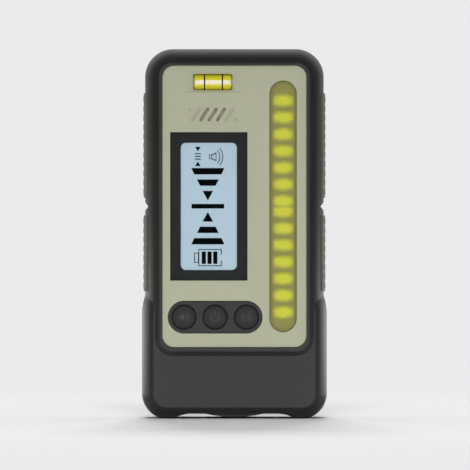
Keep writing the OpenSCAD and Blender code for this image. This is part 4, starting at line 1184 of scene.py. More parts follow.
@dataclass
class Face:
    """Front plate with its openings, the sensor lens and the level vial."""

    front: float = -14.6
    back: float = -13.0
    rim: Round = (0.3, 3)
    opening: Pair = (-16.0, -12.0)
    scoop_mouth: Pair = (12.2, 4.5)
    scoop_floor: Pair = (7.8, 3.2)
    scoop_depth: float = 1.0
    mark_depth: float = 0.55
    dot_aside: Pair = (9.25, 1.9)
    dot_r: float = 0.6
    dot_sides: int = 20
    shallow_slots: tuple[int, ...] = (-2, 2)
    keys_corner: Round = (6.53, 24)
    vial_half: float = 8.0
    vial_corner: Round = (1.0, 6)
    lens_mouth: Round = (0.75, 5)
    lens_rim: Round = (0.3, 4)
    lens_depth: Pair = (-14.1, -11.4)
    flange: float = 0.9
    flange_depth: Pair = (-11.4, -10.2)
    tube_half: float = 7.943
    tube_r: float = 3.2
    tube_end: Profile = ((0.0, 0.9), (0.12, 0.5), (0.35, 0.22), (0.7, 0.06), (1.1, 0.0))
    bore_r: float = 2.4
    fluid_r: float = 2.35
    fluid_half: float = 6.543
    bubble: Profile = ((-3.0, 0.25), (-2.8, 0.8), (-2.4, 1.2), (-1.6, 1.45), (1.6, 1.45), (2.4, 1.2),
                       (2.8, 0.8), (3.0, 0.25))
    bubble_rise: float = 1.35
    bubble_sides: int = 32
    ring_places: Pair = (-12.1, -4.87)
    ring_span: Pair = (-0.25, 0.25)
    ring_r: float = 3.235
    ring_w: float = 0.05

    def build_plate(self, look: bpy.types.Material) -> None:
        """Models the front plate: rim, scoop, openings, sound slots and shallow marks.

        Args:
            look: Material of the plate.
        """
        plate = Workpiece.through("face", LAYOUT.plate, (self.front, self.back), corner=LAYOUT.plate_corner)
        plate.pick_border(self.front).bevel(*self.rim)
        x, _, z = LAYOUT.vial
        (mouth_w, mouth_h), (floor_w, floor_h) = self.scoop_mouth, self.scoop_floor
        scoop = Workpiece.through("scoop", (x - mouth_w, z - mouth_h, x + mouth_w, z + mouth_h),
                                  (self.front - PAST, self.front))
        scoop.pick(Pick.FACES, lambda p, n: n.y > ALONG).extrude((0, self.scoop_depth, 0))
        scoop.resize((floor_w / mouth_w, 1, floor_h / mouth_h), (x, 0, z))
        aside, drop = self.dot_aside
        dots = [(x + aside * way, LAYOUT.slot_middle[2] - drop * way) for way in (-1, 1)]
        mark = (self.front - PAST, self.front + self.mark_depth)
        plate.combine([scoop, *rods(dots, (*mark, self.dot_r), self.dot_sides),
                       *LAYOUT.slots(mark, self.shallow_slots)], Cut.AWAY)
        plate.combine([
            Workpiece.through("display", LAYOUT.display, self.opening, LAYOUT.fit),
            Workpiece.through("lens", LAYOUT.lens, self.opening, LAYOUT.fit, LAYOUT.lens_corner),
            Workpiece.through("keys", LAYOUT.keys, self.opening, LAYOUT.fit, self.keys_corner),
            Workpiece.through("vial", LAYOUT.over_vial(self.vial_half), self.opening, 0.0, self.vial_corner),
            *LAYOUT.slots(self.opening, LAYOUT.open_slots),
        ], Cut.AWAY)
        left, low, right, high = grown(LAYOUT.lens, 2 * LAYOUT.fit)
        plate.turn_outward().pick(Pick.EDGES, lambda p, d: (
            p.y < self.front + NEAR and left < p.x < right and low < p.z < high)).bevel(*self.lens_mouth)
        plate.finish("front_plate", Body.HOUSING, "face", look, ["face_plate"])

    def build_sensor(self, look: bpy.types.Material) -> None:
        """Models the long lens in front of the photodiodes with its glued flange.

        Args:
            look: Material of the lens.
        """
        lens = Workpiece.through("lens", LAYOUT.lens, self.lens_depth, corner=LAYOUT.lens_corner)
        lens.pick_border(self.lens_depth[0]).bevel(*self.lens_rim)
        flange = Workpiece.through("flange", LAYOUT.lens, self.flange_depth, self.flange, LAYOUT.lens_corner)
        lens.combine([flange], Cut.JOIN)
        lens.finish("sensor_lens", Body.HOUSING, "sensor_lens", look, ["sensor_window"])

    def build_vial(self, glass: bpy.types.Material, fluid: bpy.types.Material,
                   line: bpy.types.Material) -> None:
        """Models the vial: a tube with rounded ends, the fluid with its bubble, and two rings.

        Args:
            glass: Material of the tube.
            fluid: Material of the fluid.
            line: Material of the rings.
        """
        (x, y, z), half = LAYOUT.vial, self.tube_half
        end = [(along - half, self.tube_r - inward) for along, inward in self.tube_end]
        tube = Workpiece.turned("tube", Axis.X, LAYOUT.vial, end + [(-a, r) for a, r in reversed(end)])
        bore = [(-half - PAST, self.bore_r), (half + PAST, self.bore_r)]
        tube.combine([Workpiece.turned("bore", Axis.X, LAYOUT.vial, bore)], Cut.AWAY)
        tube.finish("vial_glass", Body.HOUSING, "vial_clear", glass, ["vial_tube"])
        core = Workpiece.turned("core", Axis.X, LAYOUT.vial,
                                [(-self.fluid_half, self.fluid_r), (self.fluid_half, self.fluid_r)])
        core.combine([Workpiece.turned("bubble", Axis.X, (x, y, z + self.bubble_rise), self.bubble,
                                       self.bubble_sides)], Cut.AWAY)
        core.finish("vial_fluid", Body.HOUSING, "vial_fluid", fluid, ["vial_liquid"])
        rings = [ring(Axis.X, (place, y, z), self.ring_span, self.ring_r, self.ring_w)
                 for place in self.ring_places]
        lines = Workpiece.gather("rings", rings)
        lines.finish("vial_lines", Body.HOUSING, "black_line", line, ["vial_rings"])


@dataclass
class Keys:
    """Oval key plate and three domed buttons with small raised signs.

    The signs' areas and places start at the middle of their button.
    """

    depth: Pair = (-14.5, -13.0)
    corner: Round = (6.5, 24)
    rim: Round = (0.25, 3)
    hole_mouth: Pair = (-16.0, 5.4)
    hole_depth: Pair = (-14.4, -12.0)
    apex: float = -15.1
    dome_r: float = 19.766
    stem: Profile = ((-9.2, 2.0), (-10.4, 2.0), (-10.4, 5.433), (-11.4, 5.433), (-11.4, 4.833),
                     (-14.3, 4.833), (-14.42, 4.793), (-14.5, 4.693))
    dome: tuple[float, ...] = (4.43, 4.1, 3.6, 2.9, 2.2, 1.4, 0.6, 0.15)
    proud: float = 0.07
    skin_end: Pair = (-14.2, 4.5)
    sign_depth: Pair = (-15.12, -14.5)
    stroke: float = 0.4
    horn: Area = (-1.3, -0.7, 0.2, 0.7)
    horn_flare: float = 1.9
    magnet: Area = (-2.1, -0.7, -1.35, 0.7)
    waves: Pair = (1.5, 2.3)
    wave_x: float = -0.2
    wave_share: float = 0.7
    clear: float = 4.0
    loop_r: float = 1.7
    loop_gap: Area = (-0.8, 0.0, 0.8, 4.0)
    loop_bar: Area = (-0.2, 0.4, 0.2, 2.2)
    dash_l: float = 1.5
    dash_x: Pair = (-2.0, 0.5)
    dash_z: tuple[float, ...] = (-1.1, 0.0, 1.1)

    def build_plate(self, look: bpy.types.Material) -> None:
        """Models the oval plate round the buttons.

        Args:
            look: Material of the plate.
        """
        plate = Workpiece.through("oval", LAYOUT.keys, self.depth, corner=self.corner)
        plate.pick_border(self.depth[0]).bevel(*self.rim)
        hole = [self.hole_mouth, *((y, LAYOUT.button_hole) for y in self.hole_depth)]
        holes = [Workpiece.turned("hole", Axis.Y, (x, 0, z), hole) for x, z in LAYOUT.buttons]
        plate.combine(holes, Cut.AWAY)
        plate.finish("key_oval", Body.HOUSING, "key_black", look, ["key_plate"])

    def sign(self, key: Body, x: float, z: float) -> list[Workpiece]:
        """Makes the raised sign of one button.

        Args:
            key: Which button.
            x: Place of the button across the width.
            z: Height of the button.

        Returns:
            The sign's bars, deep enough to reach into the dome.
        """

        def bar(left: float, low: float, right: float, high: float) -> Workpiece:
            """Makes one bar of a sign."""
            return Workpiece.through("bar", (x + left, z + low, x + right, z + high), self.sign_depth)

        if key is Body.SOUND:
            horn = bar(*self.horn)
            horn.pick(Pick.POINTS, lambda p, n: p.x > x).resize((1, 1, self.horn_flare), (x, 0, z))
            bars = [horn, bar(*self.magnet)]
            for r in self.waves:
                wave = ring(Axis.Y, (x + self.wave_x, 0, z), self.sign_depth, r, self.stroke)
                part = bar(self.wave_share * r + self.wave_x, -self.clear, self.clear, self.clear)
                bars.append(wave.combine([part], Cut.COMMON))
            return bars
        if key is Body.POWER:
            loop = ring(Axis.Y, (x, 0, z), self.sign_depth, self.loop_r, self.stroke)
            return [loop.combine([bar(*self.loop_gap)], Cut.AWAY), bar(*self.loop_bar)]
        half = self.stroke / 2
        return [bar(left, up - half, left + self.dash_l, up + half)
                for left in self.dash_x for up in self.dash_z]

    def build_buttons(self, look: bpy.types.Material, sign_look: bpy.types.Material) -> None:
        """Models the three buttons and lets their signs stand just proud of the domes.

        Args:
            look: Material of the buttons.
            sign_look: Material of the signs.
        """
        dome = [(self.apex + self.dome_r - math.sqrt(self.dome_r**2 - r * r), r) for r in self.dome]
        skin = [*((y - self.proud, r) for y, r in reversed(dome)), self.skin_end]
        for (x, z), key in zip(LAYOUT.buttons, (Body.SOUND, Body.POWER, Body.PRECISION)):
            name = key.name.lower()
            button = Workpiece.turned("button", Axis.Y, (x, 0, z), [*self.stem, *dome])
            bars = self.sign(key, x, z)
            for bar in bars:
                bar.combine([Workpiece.turned("cap", Axis.Y, (x, 0, z), skin)], Cut.COMMON)
            sign = Workpiece.gather("sign", bars)
            button.finish(f"button_{name}", key, "key_rubber", look, [f"{name}_button"])
            sign.finish(f"sign_{name}", key, "key_black", sign_look)


@dataclass
class Readout:
    """Dark signs of the display: grade arrows, bars, a loudspeaker and a battery.

    Each row of arrows has its outer and inner end above the grade line, and its outer and inner width.
    """

    depth: Pair = (-13.05, -13.0)
    cut: Pair = (-14.0, -12.0)
    middle: float = -10.77
    grade: float = 86.17
    arrows: tuple[tuple[float, ...], ...] = (
        (15.47, 12.92, 13.4, 11.08), (10.85, 8.3, 8.85, 6.2), (6.22, 2.4, 4.25, 0.01))
    line: Pair = (13.25, 1.85)
    pointer: Pair = (-14.82, 106.35)
    pointer_dash: Pair = (1.2, 0.2)
    pointer_steps: tuple[float, ...] = (-1.1, 0.0, 1.1)
    pointer_tip: Area = (-1.15, -3.9, 1.15, -2.1)
    tip_share: float = 0.02
    battery: Area = (-14.59, 61.84, -5.16, 68.79)
    battery_wall: float = 0.33
    battery_gap: Pair = (64.1, 66.6)
    cap: Area = (-16.29, 63.26, -14.45, 67.36)
    cap_wall: float = 0.3
    cells: tuple[float, ...] = (-13.26, -10.92, -8.6)
    cell_w: float = 1.68
    cell_z: Pair = (62.77, 67.8)
    speaker: Pair = (-9.9, 106.2)
    speaker_half: float = 0.9
    speaker_wall: float = 0.28
    magnet: Pair = (-0.4, 1.2)
    magnet_end: Pair = (0.56, 2.0)
    horn: Pair = (0.6, 2.6)
    horn_flare: float = 2.0
    waves: Pair = (4.0, 5.2)
    wave_w: float = 0.32
    wave_share: float = 0.74
    clear: float = 9.0

    def plate(self, area: Area) -> Workpiece:
        """Makes one thin sign."""
        return Workpiece.through("sign", area, self.depth)

    def outline(self, area: Area, width: float) -> Workpiece:
        """Makes a thin frame."""
        return self.plate(area).frame_out(width)

    def both_ways(self, sign: Workpiece, grade: float) -> list[Workpiece]:
        """Gives a sign and its mirror image about a height."""
        return [sign, sign.copy("sign", flip=(1, 1, -1), centre=(0, 0, grade))]

    def grade_signs(self) -> list[Workpiece]:
        """Makes the arrows above and below the grade line, and the line.

        Returns:
            The signs.
        """
        made = []
        for outer, inner, wide, narrow in self.arrows:
            low = self.grade + inner
            upper = self.plate((self.middle - wide / 2, low, self.middle + wide / 2, self.grade + outer))
            upper.pick(Pick.POINTS, lambda p, n, low=low: p.z < low + NEAR)
            upper.resize((narrow / wide, 1, 1), (self.middle, 0, 0))
            made += self.both_ways(upper, self.grade)
        half_w, half_h = self.line[0] / 2, self.line[1] / 2
        made.append(self.plate((self.middle - half_w, self.grade - half_h,
                                self.middle + half_w, self.grade + half_h)))
        return made

    def pointer_signs(self) -> list[Workpiece]:
        """Makes three short dashes between two small arrowheads.

        Returns:
            The signs.
        """
        (x, z), (half_w, half_h) = self.pointer, self.pointer_dash
        made = [self.plate((x - half_w, z + step - half_h, x + half_w, z + step + half_h))
                for step in self.pointer_steps]
        left, low, right, high = self.pointer_tip
        tip = self.plate((x + left, z + low, x + right, z + high))
        tip.pick(Pick.POINTS, lambda p, n: p.z > z + high - NEAR).resize((self.tip_share, 1, 1), (x, 0, 0))
        return made + self.both_ways(tip, z)

    def battery_signs(self) -> list[Workpiece]:
        """Makes the battery's outline with a gap at its end, its cap and its cells.

        Returns:
            The signs.
        """
        end, (low, high), (foot, head) = self.battery[2], self.battery_gap, self.cell_z
        shell = self.outline(self.battery, self.battery_wall).turn_outward()
        gap = Workpiece.through("gap", (end - PAST, low, end + PAST, high), self.cut)
        return [shell.combine([gap], Cut.AWAY), self.outline(self.cap, self.cap_wall),
                *(self.plate((left, foot, left + self.cell_w, head)) for left in self.cells)]

    def speaker_signs(self) -> list[Workpiece]:
        """Makes the loudspeaker's magnet, its horn and two sound waves.

        Returns:
            The signs.
        """
        (x, z), half = self.speaker, self.speaker_half
        magnet, horn = (self.outline((x + left, z - half, x + right, z + half), self.speaker_wall)
                        for left, right in (self.magnet, self.horn))
        start, end = self.magnet_end
        room = Workpiece.through("room", (x + start, z - end, x + end, z + end), self.cut)
        magnet.turn_outward().combine([room], Cut.AWAY)
        horn.pick(Pick.POINTS, lambda p, n: p.x > x + sum(self.horn) / 2)
        made = [magnet, horn.resize((1, 1, self.horn_flare), (0, 0, z))]
        for radius in self.waves:
            wave = ring(Axis.Y, (x, 0, z), self.depth, radius, self.wave_w)
            part = Workpiece.through("part", (x + self.wave_share * radius, z - self.clear, x + self.clear,
                                              z + self.clear), self.cut)
            made.append(wave.combine([part], Cut.COMMON))
        return made

    def build(self, look: bpy.types.Material) -> None:
        """Models all signs on the display's face and dresses them.

        Args:
            look: Material of the signs.
        """
        signs = Workpiece.gather("signs", [*self.grade_signs(), *self.pointer_signs(), *self.battery_signs(),
                                           *self.speaker_signs()])
        signs.turn_outward().finish("display_signs", Body.HOUSING, "black_mask", look)


@dataclass
class BatteryBay:
    """Hinged door with its latch, the two cells and their springs."""

    panel: Slab = (17.5, (13.0, 17.0), (-1.0, 57.8))
    knuckle_x: float = 11.0
    root: Slab = (3.0, (13.0, 15.0), (57.3, 60.0))
    toe: Slab = (10.0, (11.0, 13.5), (2.0, 3.0))
    ribs: tuple[float, ...] = (10.0, 12.6, 15.2, 17.8, 20.4)
    rib: Slab = (7.5, (14.5, 15.4), (-0.6, 0.6))
    rib_round: Round = (0.38, 3)
    hollow: Slab = (30.0, (0.0, 30.0), (-5.0, 2.0))
    pin_bore: Rod = (-20.0, 20.0, 1.05)
    lip: Slab = (12.1, (4.1, 13.5), (0.1, 1.8))
    lip_r: float = 52.99
    lip_round: Pair = (0.0, 20.0)
    lip_sides: int = 512
    lip_toe: Slab = (10.0, (11.0, 13.5), (1.6, 2.0))
    hook: Slab = (6.0, (5.1, 6.1), (1.3, 3.0))
    slit: Slab = (4.9, (3.0, 4.8), (1.1, 1.5))
    cell_y: float = 7.4
    cell_z: float = 10.0
    cell_centre: float = 32.25
    cell_drop: float = -4.0
    can: Profile = ((0.0, 4.5), (0.12, 4.9), (0.4, 5.15), (0.6, 5.25), (42.6, 5.25), (42.9, 5.16),
                    (43.2, 4.95), (43.4, 4.5), (43.4, 3.6), (43.7, 3.4), (43.7, 1.9), (44.35, 1.9),
                    (44.5, 1.7))
    coil_turns: float = 2.25
    coil_steps: int = 90
    coil_l: float = 4.0
    coil_lead: float = 0.6
    coil_r: float = 3.5
    coil_taper: float = 0.38
    wire_r: float = 0.3
    wire_faces: int = 3
    spring_z: float = 6.0
    spring_rise: float = 40.5

    def build_door(self, case: Case, look: bpy.types.Material) -> None:
        """Models the door from the case's own form, with knuckles, a toe and thumb ribs.

        Args:
            case: The case that the door closes.
            look: Material of the door.
        """
        half, sides = self.root[0], (-self.knuckle_x, self.knuckle_x)
        door = case.form(1).combine([Workpiece.slab("panel", self.panel)], Cut.COMMON)
        door.combine([*(Workpiece.slab("root", self.root, x) for x in sides), Workpiece.slab("toe", self.toe),
                      *(self.thumb_rib(height) for height in self.ribs)], Cut.JOIN)
        door.combine([LAYOUT.hinge_bar(x - half, x + half, LAYOUT.barrel_r) for x in sides], Cut.JOIN)
        door.combine([Workpiece.slab("hollow", self.hollow), LAYOUT.hinge_bar(*self.pin_bore)], Cut.AWAY)
        door.turn_outward().finish("bay_door", Body.DOOR, "case", look, ["battery_door"])

    def thumb_rib(self, height: float) -> Workpiece:
        """Makes one rounded thumb rib of the door.

        Args:
            height: Height of its middle.

        Returns:
            The rib.
        """
        half, depth, (low, high) = self.rib
        rib = Workpiece.slab("rib", (half, depth, (height + low, height + high)))
        return rib.pick(Pick.EDGES, lambda p, d: p.y > depth[1] - NEAR).bevel(*self.rib_round)

    def build_latch(self, look: bpy.types.Material) -> None:
        """Models the springy latch with its lens-shaped thumb lip and finger slit.

        Args:
            look: Material of the latch.
        """
        latch = Workpiece.slab("lip", self.lip)
        drum = Workpiece.turned("drum", Axis.Y, (0, 0, self.lip[2][0] + self.lip_r),
                                [(y, self.lip_r) for y in self.lip_round], self.lip_sides)
        latch.combine([drum], Cut.COMMON)
        latch.combine([Workpiece.slab("toe", self.lip_toe), Workpiece.slab("hook", self.hook)], Cut.JOIN)
        latch.combine([Workpiece.slab("slit", self.slit)], Cut.AWAY)
        latch.turn_outward().finish("thumb_latch", Body.DOOR, "case", look, ["door_latch"])

    def build_cells(self, look: bpy.types.Material) -> None:
        """Models one wrapped cell with crimped ends and copies it the other way up.

        Args:
            look: Material of the cells.
        """
        first = Workpiece.turned("cell", Axis.Z, (-LAYOUT.cell_x, self.cell_y, self.cell_z), self.can)
        second = first.copy("cell", (2 * LAYOUT.cell_x, 0, self.cell_drop), flip=(1, 1, -1),
                            centre=(0, 0, self.cell_centre))
        cells = Workpiece.gather("cells", [first, second])
        cells.finish("cells", Body.HOUSING, "cell", look, ["battery_cells"])

    def build_springs(self, look: bpy.types.Material) -> None:
        """Models the two narrowing contact springs as swept wire.

        Args:
            look: Material of the springs.
        """
        points = []
        for i in range(self.coil_steps + 1):
            t = i / self.coil_steps
            r, angle = self.coil_r * (1 - t * self.coil_taper), 2 * math.pi * self.coil_turns * t
            rise = self.coil_lead + (self.coil_l - 2 * self.coil_lead) * t
            points.append((r * math.cos(angle), r * math.sin(angle), rise))
        points = [(*points[0][:2], 0.0), *points, (*points[-1][:2], self.coil_l)]
        Workpiece.rest()
        wire = bpy.data.curves.new("wire", "CURVE")
        wire.dimensions, wire.bevel_depth = "3D", self.wire_r * MM
        wire.bevel_resolution, wire.use_fill_caps = self.wire_faces, True
        line = wire.splines.new("POLY")
        line.points.add(len(points) - 1)
        for spot, (x, y, z) in zip(line.points, points):
            spot.co = ((x - LAYOUT.cell_x) * MM, (y + self.cell_y) * MM, (z + self.spring_z) * MM, 1)
        swept = bpy.data.objects.new("wire", wire)
        bpy.context.scene.collection.objects.link(swept)
        swept.select_set(True)
        bpy.context.view_layer.objects.active = swept
        bpy.ops.object.convert(target="MESH")
        first = Workpiece("spring").turn_outward()
        second = first.copy("spring", (2 * LAYOUT.cell_x, 0, self.spring_rise), flip=(1, 1, -1),
                            centre=(0, 0, self.spring_z + self.coil_l))
        springs = Workpiece.gather("springs", [first, second])
        springs.finish("springs", Body.HOUSING, "steel", look, ["contact_springs"])


@dataclass
class Fixings:
    """Brass thread insert of the mount and the four case screws."""

    insert: Profile = ((6.0, 4.2), (6.1, 4.3), (14.85, 4.3), (15.0, 4.15))
    bore_r: float = 2.55
    root_r: float = 3.05
    bore_start: float = 5.0
    thread_start: float = 6.2
    pitch: float = 1.27
    turns: int = 6
    mouth: Profile = ((14.3, 2.55), (15.0, 3.2), (16.0, 3.2))
    screw: Profile = ((-8.0, 0.9), (-7.4, 1.5), (9.0, 1.5), (9.0, 2.6), (10.3, 2.6), (10.6, 2.45),
                      (10.8, 2.1))
    socket: Rod = (9.9, 12.0, 1.2)
    socket_sides: int = 6

    def build_insert(self, look: bpy.types.Material) -> None:
        """Models the insert with its thread and a countersunk mouth.

        Args:
            look: Material of the insert.
        """
        place = (0, 0, LAYOUT.grade)
        insert = Workpiece.turned("insert", Axis.Y, place, self.insert)
        thread = [(self.bore_start, self.bore_r), (self.thread_start, self.bore_r)]
        for i in range(self.turns):
            y = self.thread_start + i * self.pitch
            thread += [(y + self.pitch / 2, self.root_r), (y + self.pitch, self.bore_r)]
        insert.combine([Workpiece.turned("thread", Axis.Y, place, [*thread, *self.mouth])], Cut.AWAY)
        insert.turn_outward().finish("thread_insert", Body.HOUSING, "brass", look, ["mount_insert"])

    def build_screws(self, look: bpy.types.Material) -> None:
        """Models one socket screw and copies it to the four corners.

        Args:
            look: Material of the screws.
        """
        x, z = LAYOUT.screws[0]
        screw = Workpiece.turned("screw", Axis.Y, (x, 0, z), self.screw, ROD_SIDES)
        screw.combine(rods([(x, z)], self.socket, self.socket_sides), Cut.AWAY)
        copies = [screw.copy("screw", (a - x, 0, b - z)) for a, b in LAYOUT.screws[1:]]
        screws = Workpiece.gather("screws", [screw, *copies])
        screws.finish("screws", Body.HOUSING, "steel", look, ["case_screws"])


@dataclass
class Studio:
    """Pale floor, soft lights and a long lens at the photograph's angle. Lights and floor are in metres."""

    lens: float = 400.0
    sensor: float = 36.0
    nearest: float = 0.01
    view_mm: float = 190.96
    aim_mm: Pair = (0.24, 74.5)
    plane_mm: float = -9.0
    backdrop: float = 0.83
    sides: float = 2.0
    top: float = 3.0
    side_range: Pair = (0.15, 0.65)
    front_range: Pair = (-0.5, 0.15)
    front_level: Pair = (0.03, 1.0)
    back_range: Pair = (0.35, 1.0)
    back_level: Pair = (1.0, 0.1)
    floor_r: float = 0.42
    floor_sides: int = 96
    floor_fade: Pair = (0.2, 0.399)
    floor_grey: str = "#757575"
    front_place: Point = (0.0, -2.6, 0.2)
    front_aim: Point = (0.0, 0.0, 0.08)
    front_size: Pair = (2.4, 2.0)
    front_watts: float = 37.0
    strip_place: Point = (0.16, 0.03, 0.035)
    strip_size: Pair = (0.2, 0.06)
    strip_watts: float = 0.16
    sun_height: float = 42.0
    sun_spread: float = 22.0
    sun_power: float = 7.7
    sun_lean: float = 0.9

    def camera(self) -> None:
        """Sets the camera level in front of the face."""
        data = bpy.data.cameras.new("camera")
        data.lens, data.sensor_width, data.clip_start = self.lens, self.sensor, self.nearest
        shot = bpy.data.objects.new("camera", data)
        bpy.context.scene.collection.objects.link(shot)
        away = self.view_mm * self.lens / self.sensor
        shot.location = Vector((self.aim_mm[0], self.plane_mm - away, self.aim_mm[1])) * MM
        shot.rotation_euler = (math.pi / 2, 0, 0)
        bpy.context.scene.camera = shot

    def soft_box(self, name: str, place: Point, aim: Point, size: Pair, watts: float) -> bpy.types.Object:
        """Adds one soft box that the camera doesn't see.

        Args:
            name: Name of the light.
            place: Where it stands.
            aim: Where it points.
            size: Width and height.
            watts: Power.

        Returns:
            The light.
        """
        data = bpy.data.lights.new(name, "AREA")
        data.shape, data.size, data.size_y, data.energy = "RECTANGLE", size[0], size[1], watts
        lamp = bpy.data.objects.new(name, data)
        lamp.location = place
        lamp.rotation_euler = (Vector(aim) - Vector(place)).to_track_quat("-Z", "Y").to_euler()
        lamp.visible_camera = False
        bpy.context.scene.collection.objects.link(lamp)
        return lamp

    def overhead(self, side: int, ground: bpy.types.Object) -> None:
        """Adds a soft light from above that only the floor takes, so that it lays a shadow there.

        Args:
            side: 1 from behind the object, -1 from in front.
            ground: The floor.
        """
        data = bpy.data.lights.new("overhead", "SUN")
        data.energy, data.angle = self.sun_power + self.sun_lean * side, math.radians(self.sun_spread)
        sun = bpy.data.objects.new("overhead", data)
        rise = math.radians(self.sun_height)
        way = Vector((0.0, -side * math.cos(rise), -math.sin(rise)))
        sun.rotation_euler = way.to_track_quat("-Z", "Y").to_euler()
        bpy.context.scene.collection.objects.link(sun)
        takers = bpy.data.collections.new("floor only")
        takers.objects.link(ground)
        sun.light_linking.receiver_collection = takers

    def surroundings(self) -> None:
        """Makes the pale backdrop that the camera sees and the dimmer room that the case mirrors."""
        world = bpy.data.worlds.new("studio")
        bpy.context.scene.world = world
        world.use_nodes = True
        tree = world.node_tree
        tree.nodes.clear()
        way = add(tree, "ShaderNodeTexCoord").outputs["Generated"]
        turn = add(tree, "ShaderNodeSeparateXYZ", {"Vector": way})
        rise, fall, level = (
            add(tree, "ShaderNodeMapRange", {"Value": turn.outputs[axis]}, From_Min=reach[0],
                From_Max=reach[1], To_Min=light[0], To_Max=light[1])
            for axis, reach, light in (("Y", self.front_range, self.front_level),
                                       ("Y", self.back_range, self.back_level),
                                       ("Z", self.side_range, (self.sides, self.top))))
        band = add(tree, "ShaderNodeMath", {0: rise.outputs[0], 1: fall.outputs[0]}, operation="MINIMUM")
        bright = add(tree, "ShaderNodeMath", {0: band.outputs[0], 1: level.outputs[0]}, operation="MULTIPLY")
        room = add(tree, "ShaderNodeBackground", {"Color": linear("#FFFFFF"), "Strength": bright.outputs[0]})
        seen = add(tree, "ShaderNodeBackground", {"Color": linear("#FFFFFF"), "Strength": self.backdrop})
        path = add(tree, "ShaderNodeLightPath")
        mix = add(tree, "ShaderNodeMixShader", {0: path.outputs["Is Camera Ray"], 1: room.outputs[0],
                                                2: seen.outputs[0]})
        add(tree, "ShaderNodeOutputWorld", {"Surface": mix.outputs[0]})

    def floor(self) -> bpy.types.Object:
        """Makes a round pale floor that fades into the backdrop.

        Returns:
            The floor.
        """
        Workpiece.rest()
        bpy.ops.mesh.primitive_circle_add(vertices=self.floor_sides, radius=self.floor_r, fill_type="NGON")
        disc = Workpiece("floor")
        # Matt painted board: plain grey that clears towards its rim
        made = bpy.data.materials.new("pale floor board")
        made.use_nodes = True
        tree = made.node_tree
        tree.nodes.clear()
        place = add(tree, "ShaderNodeTexCoord").outputs["Object"]
        reach = add(tree, "ShaderNodeVectorMath", {0: place}, operation="LENGTH")
        fade = add(tree, "ShaderNodeMapRange", {"Value": reach.outputs["Value"]},
                   interpolation_type="SMOOTHSTEP", From_Min=self.floor_fade[0], From_Max=self.floor_fade[1])
        pale = add(tree, "ShaderNodeBsdfDiffuse", {"Color": linear(self.floor_grey)})
        clear = add(tree, "ShaderNodeBsdfTransparent")
        mix = add(tree, "ShaderNodeMixShader", {0: fade.outputs[0], 1: pale.outputs[0], 2: clear.outputs[0]})
        add(tree, "ShaderNodeOutputMaterial", {"Surface": mix.outputs[0]})
        disc.obj.data.materials.append(made)
        return disc.obj

    def build(self) -> None:
        """Sets up camera, surroundings, floor and lights."""
        self.camera()
        self.surroundings()
        ground = self.floor()
        front = self.soft_box("front", self.front_place, self.front_aim, self.front_size, self.front_watts)
        # The front light stands low, so the floor must not hold it back
        passed = bpy.data.collections.new("lets the front light by")
        passed.objects.link(ground)
        passed.collection_objects[0].light_linking.link_state = "EXCLUDE"
        front.light_linking.blocker_collection = passed
        x, y, z = self.strip_place
        for side in (-1, 1):
            # The strips are only mirrored in the glossy boot and light no matt surface
            strip = self.soft_box("strip", (side * x, y, z), (0.0, y, z), self.strip_size, self.strip_watts)
            strip.visible_diffuse = False
            self.overhead(side, ground)
        bpy.context.scene.view_settings.view_transform = "Standard"


# Injection-moulded ABS with a fine spark-eroded grain: satin, near black, brighter at grazing angles
CASE_ABS = Moulding("moulded black ABS", "#1C1C1C", "#1F1F1E", 0.38, 0.6, 0.02, ior=1.355)
# Injection-moulded ABS in a pale olive, matt and even
FACE_ABS = Moulding("moulded olive ABS", "#BEC0A6", "#BABCA2", 0.6, 0.7, 0.012, ior=1.3)
# Thermoplastic rubber moulded over the grip ribs: dull grey-olive with soft cloudy patches
GRIP_RUBBER = Moulding("moulded grip rubber", "#484B41", "#505348", 0.65, 0.8, 0.04, 9.0, ior=1.4)
# Extruded black silicone cord: dull and soft
SEAL_RUBBER = Moulding("silicone seal", "#1C1C1C", "#242424", 0.75, 0.9, 0.02, 6.0)
# Screen-printed black border behind the window: deep and slightly uneven
MASK_INK = Moulding("black window print", "#2A2C2D", "#2D2F30", 0.6, 0.8, 0.004, 12.0, ior=1.15)
# Reflective display glass: pale blue with a soft cloudiness of its rear film
DISPLAY_GLASS = Moulding("display glass", "#B8D4E4", "#AECADB", 0.35, 0.9, 0.002, 22.0)
# Dark liquid crystal of the display signs and the printed rings of the vial: flat black
SEGMENT_INK = Moulding("display segments", "#020303", "#050607", 0.6, 0.9, 0.002, 6.0, ior=1.04)
# White light guide and frame: milky acrylic
WHITE_ACRYLIC = Moulding("white acrylic", "#E9E8E2", "#DEDCD4", 0.4, 0.8, 0.004, 8.0)
# Layered rubber connector strips: pink with darker patches
STRIP_RUBBER = Moulding("connector rubber", "#C98F8F", "#A87676", 0.65, 0.5, 0.01, 2.0)
# Injection-moulded acetal plungers: cream with a waxy sheen
IVORY_POM = Moulding("ivory plunger plastic", "#E5DFC8", "#D9D2BA", 0.4, 0.6, 0.004, 4.0)
# Moulded epoxy of chips, switches, buzzer and sockets: dull black
CHIP_EPOXY = Moulding("black epoxy", "#1A1B1C", "#232426", 0.55, 0.4, 0.01, 3.0)
# Moulded black polycarbonate oval round the buttons: satin, a touch lighter than the buttons
KEY_OVAL = Moulding("black key plate", "#1A1A1A", "#1D1D1D", 0.4, 0.6, 0.012, ior=1.36)
# Moulded silicone buttons: deep grey with a silky face
KEY_RUBBER = Moulding("black button silicone", "#181818", "#1C1C1C", 0.44, 0.6, 0.015, 8.0, ior=1.36)
# Raised signs of the silicone buttons, rubbed a little lighter
SIGN_RUBBER = Moulding("rubbed button sign", "#3C3C3B", "#434342", 0.5, 0.5, 0.01, 3.0, ior=1.36)
# Cast filter resin of the photodiodes: dark with a warm tint
DIODE_RESIN = Moulding("diode resin", "#3A2A1C", "#4A3826", 0.3, 0.6, 0.004, 2.0)
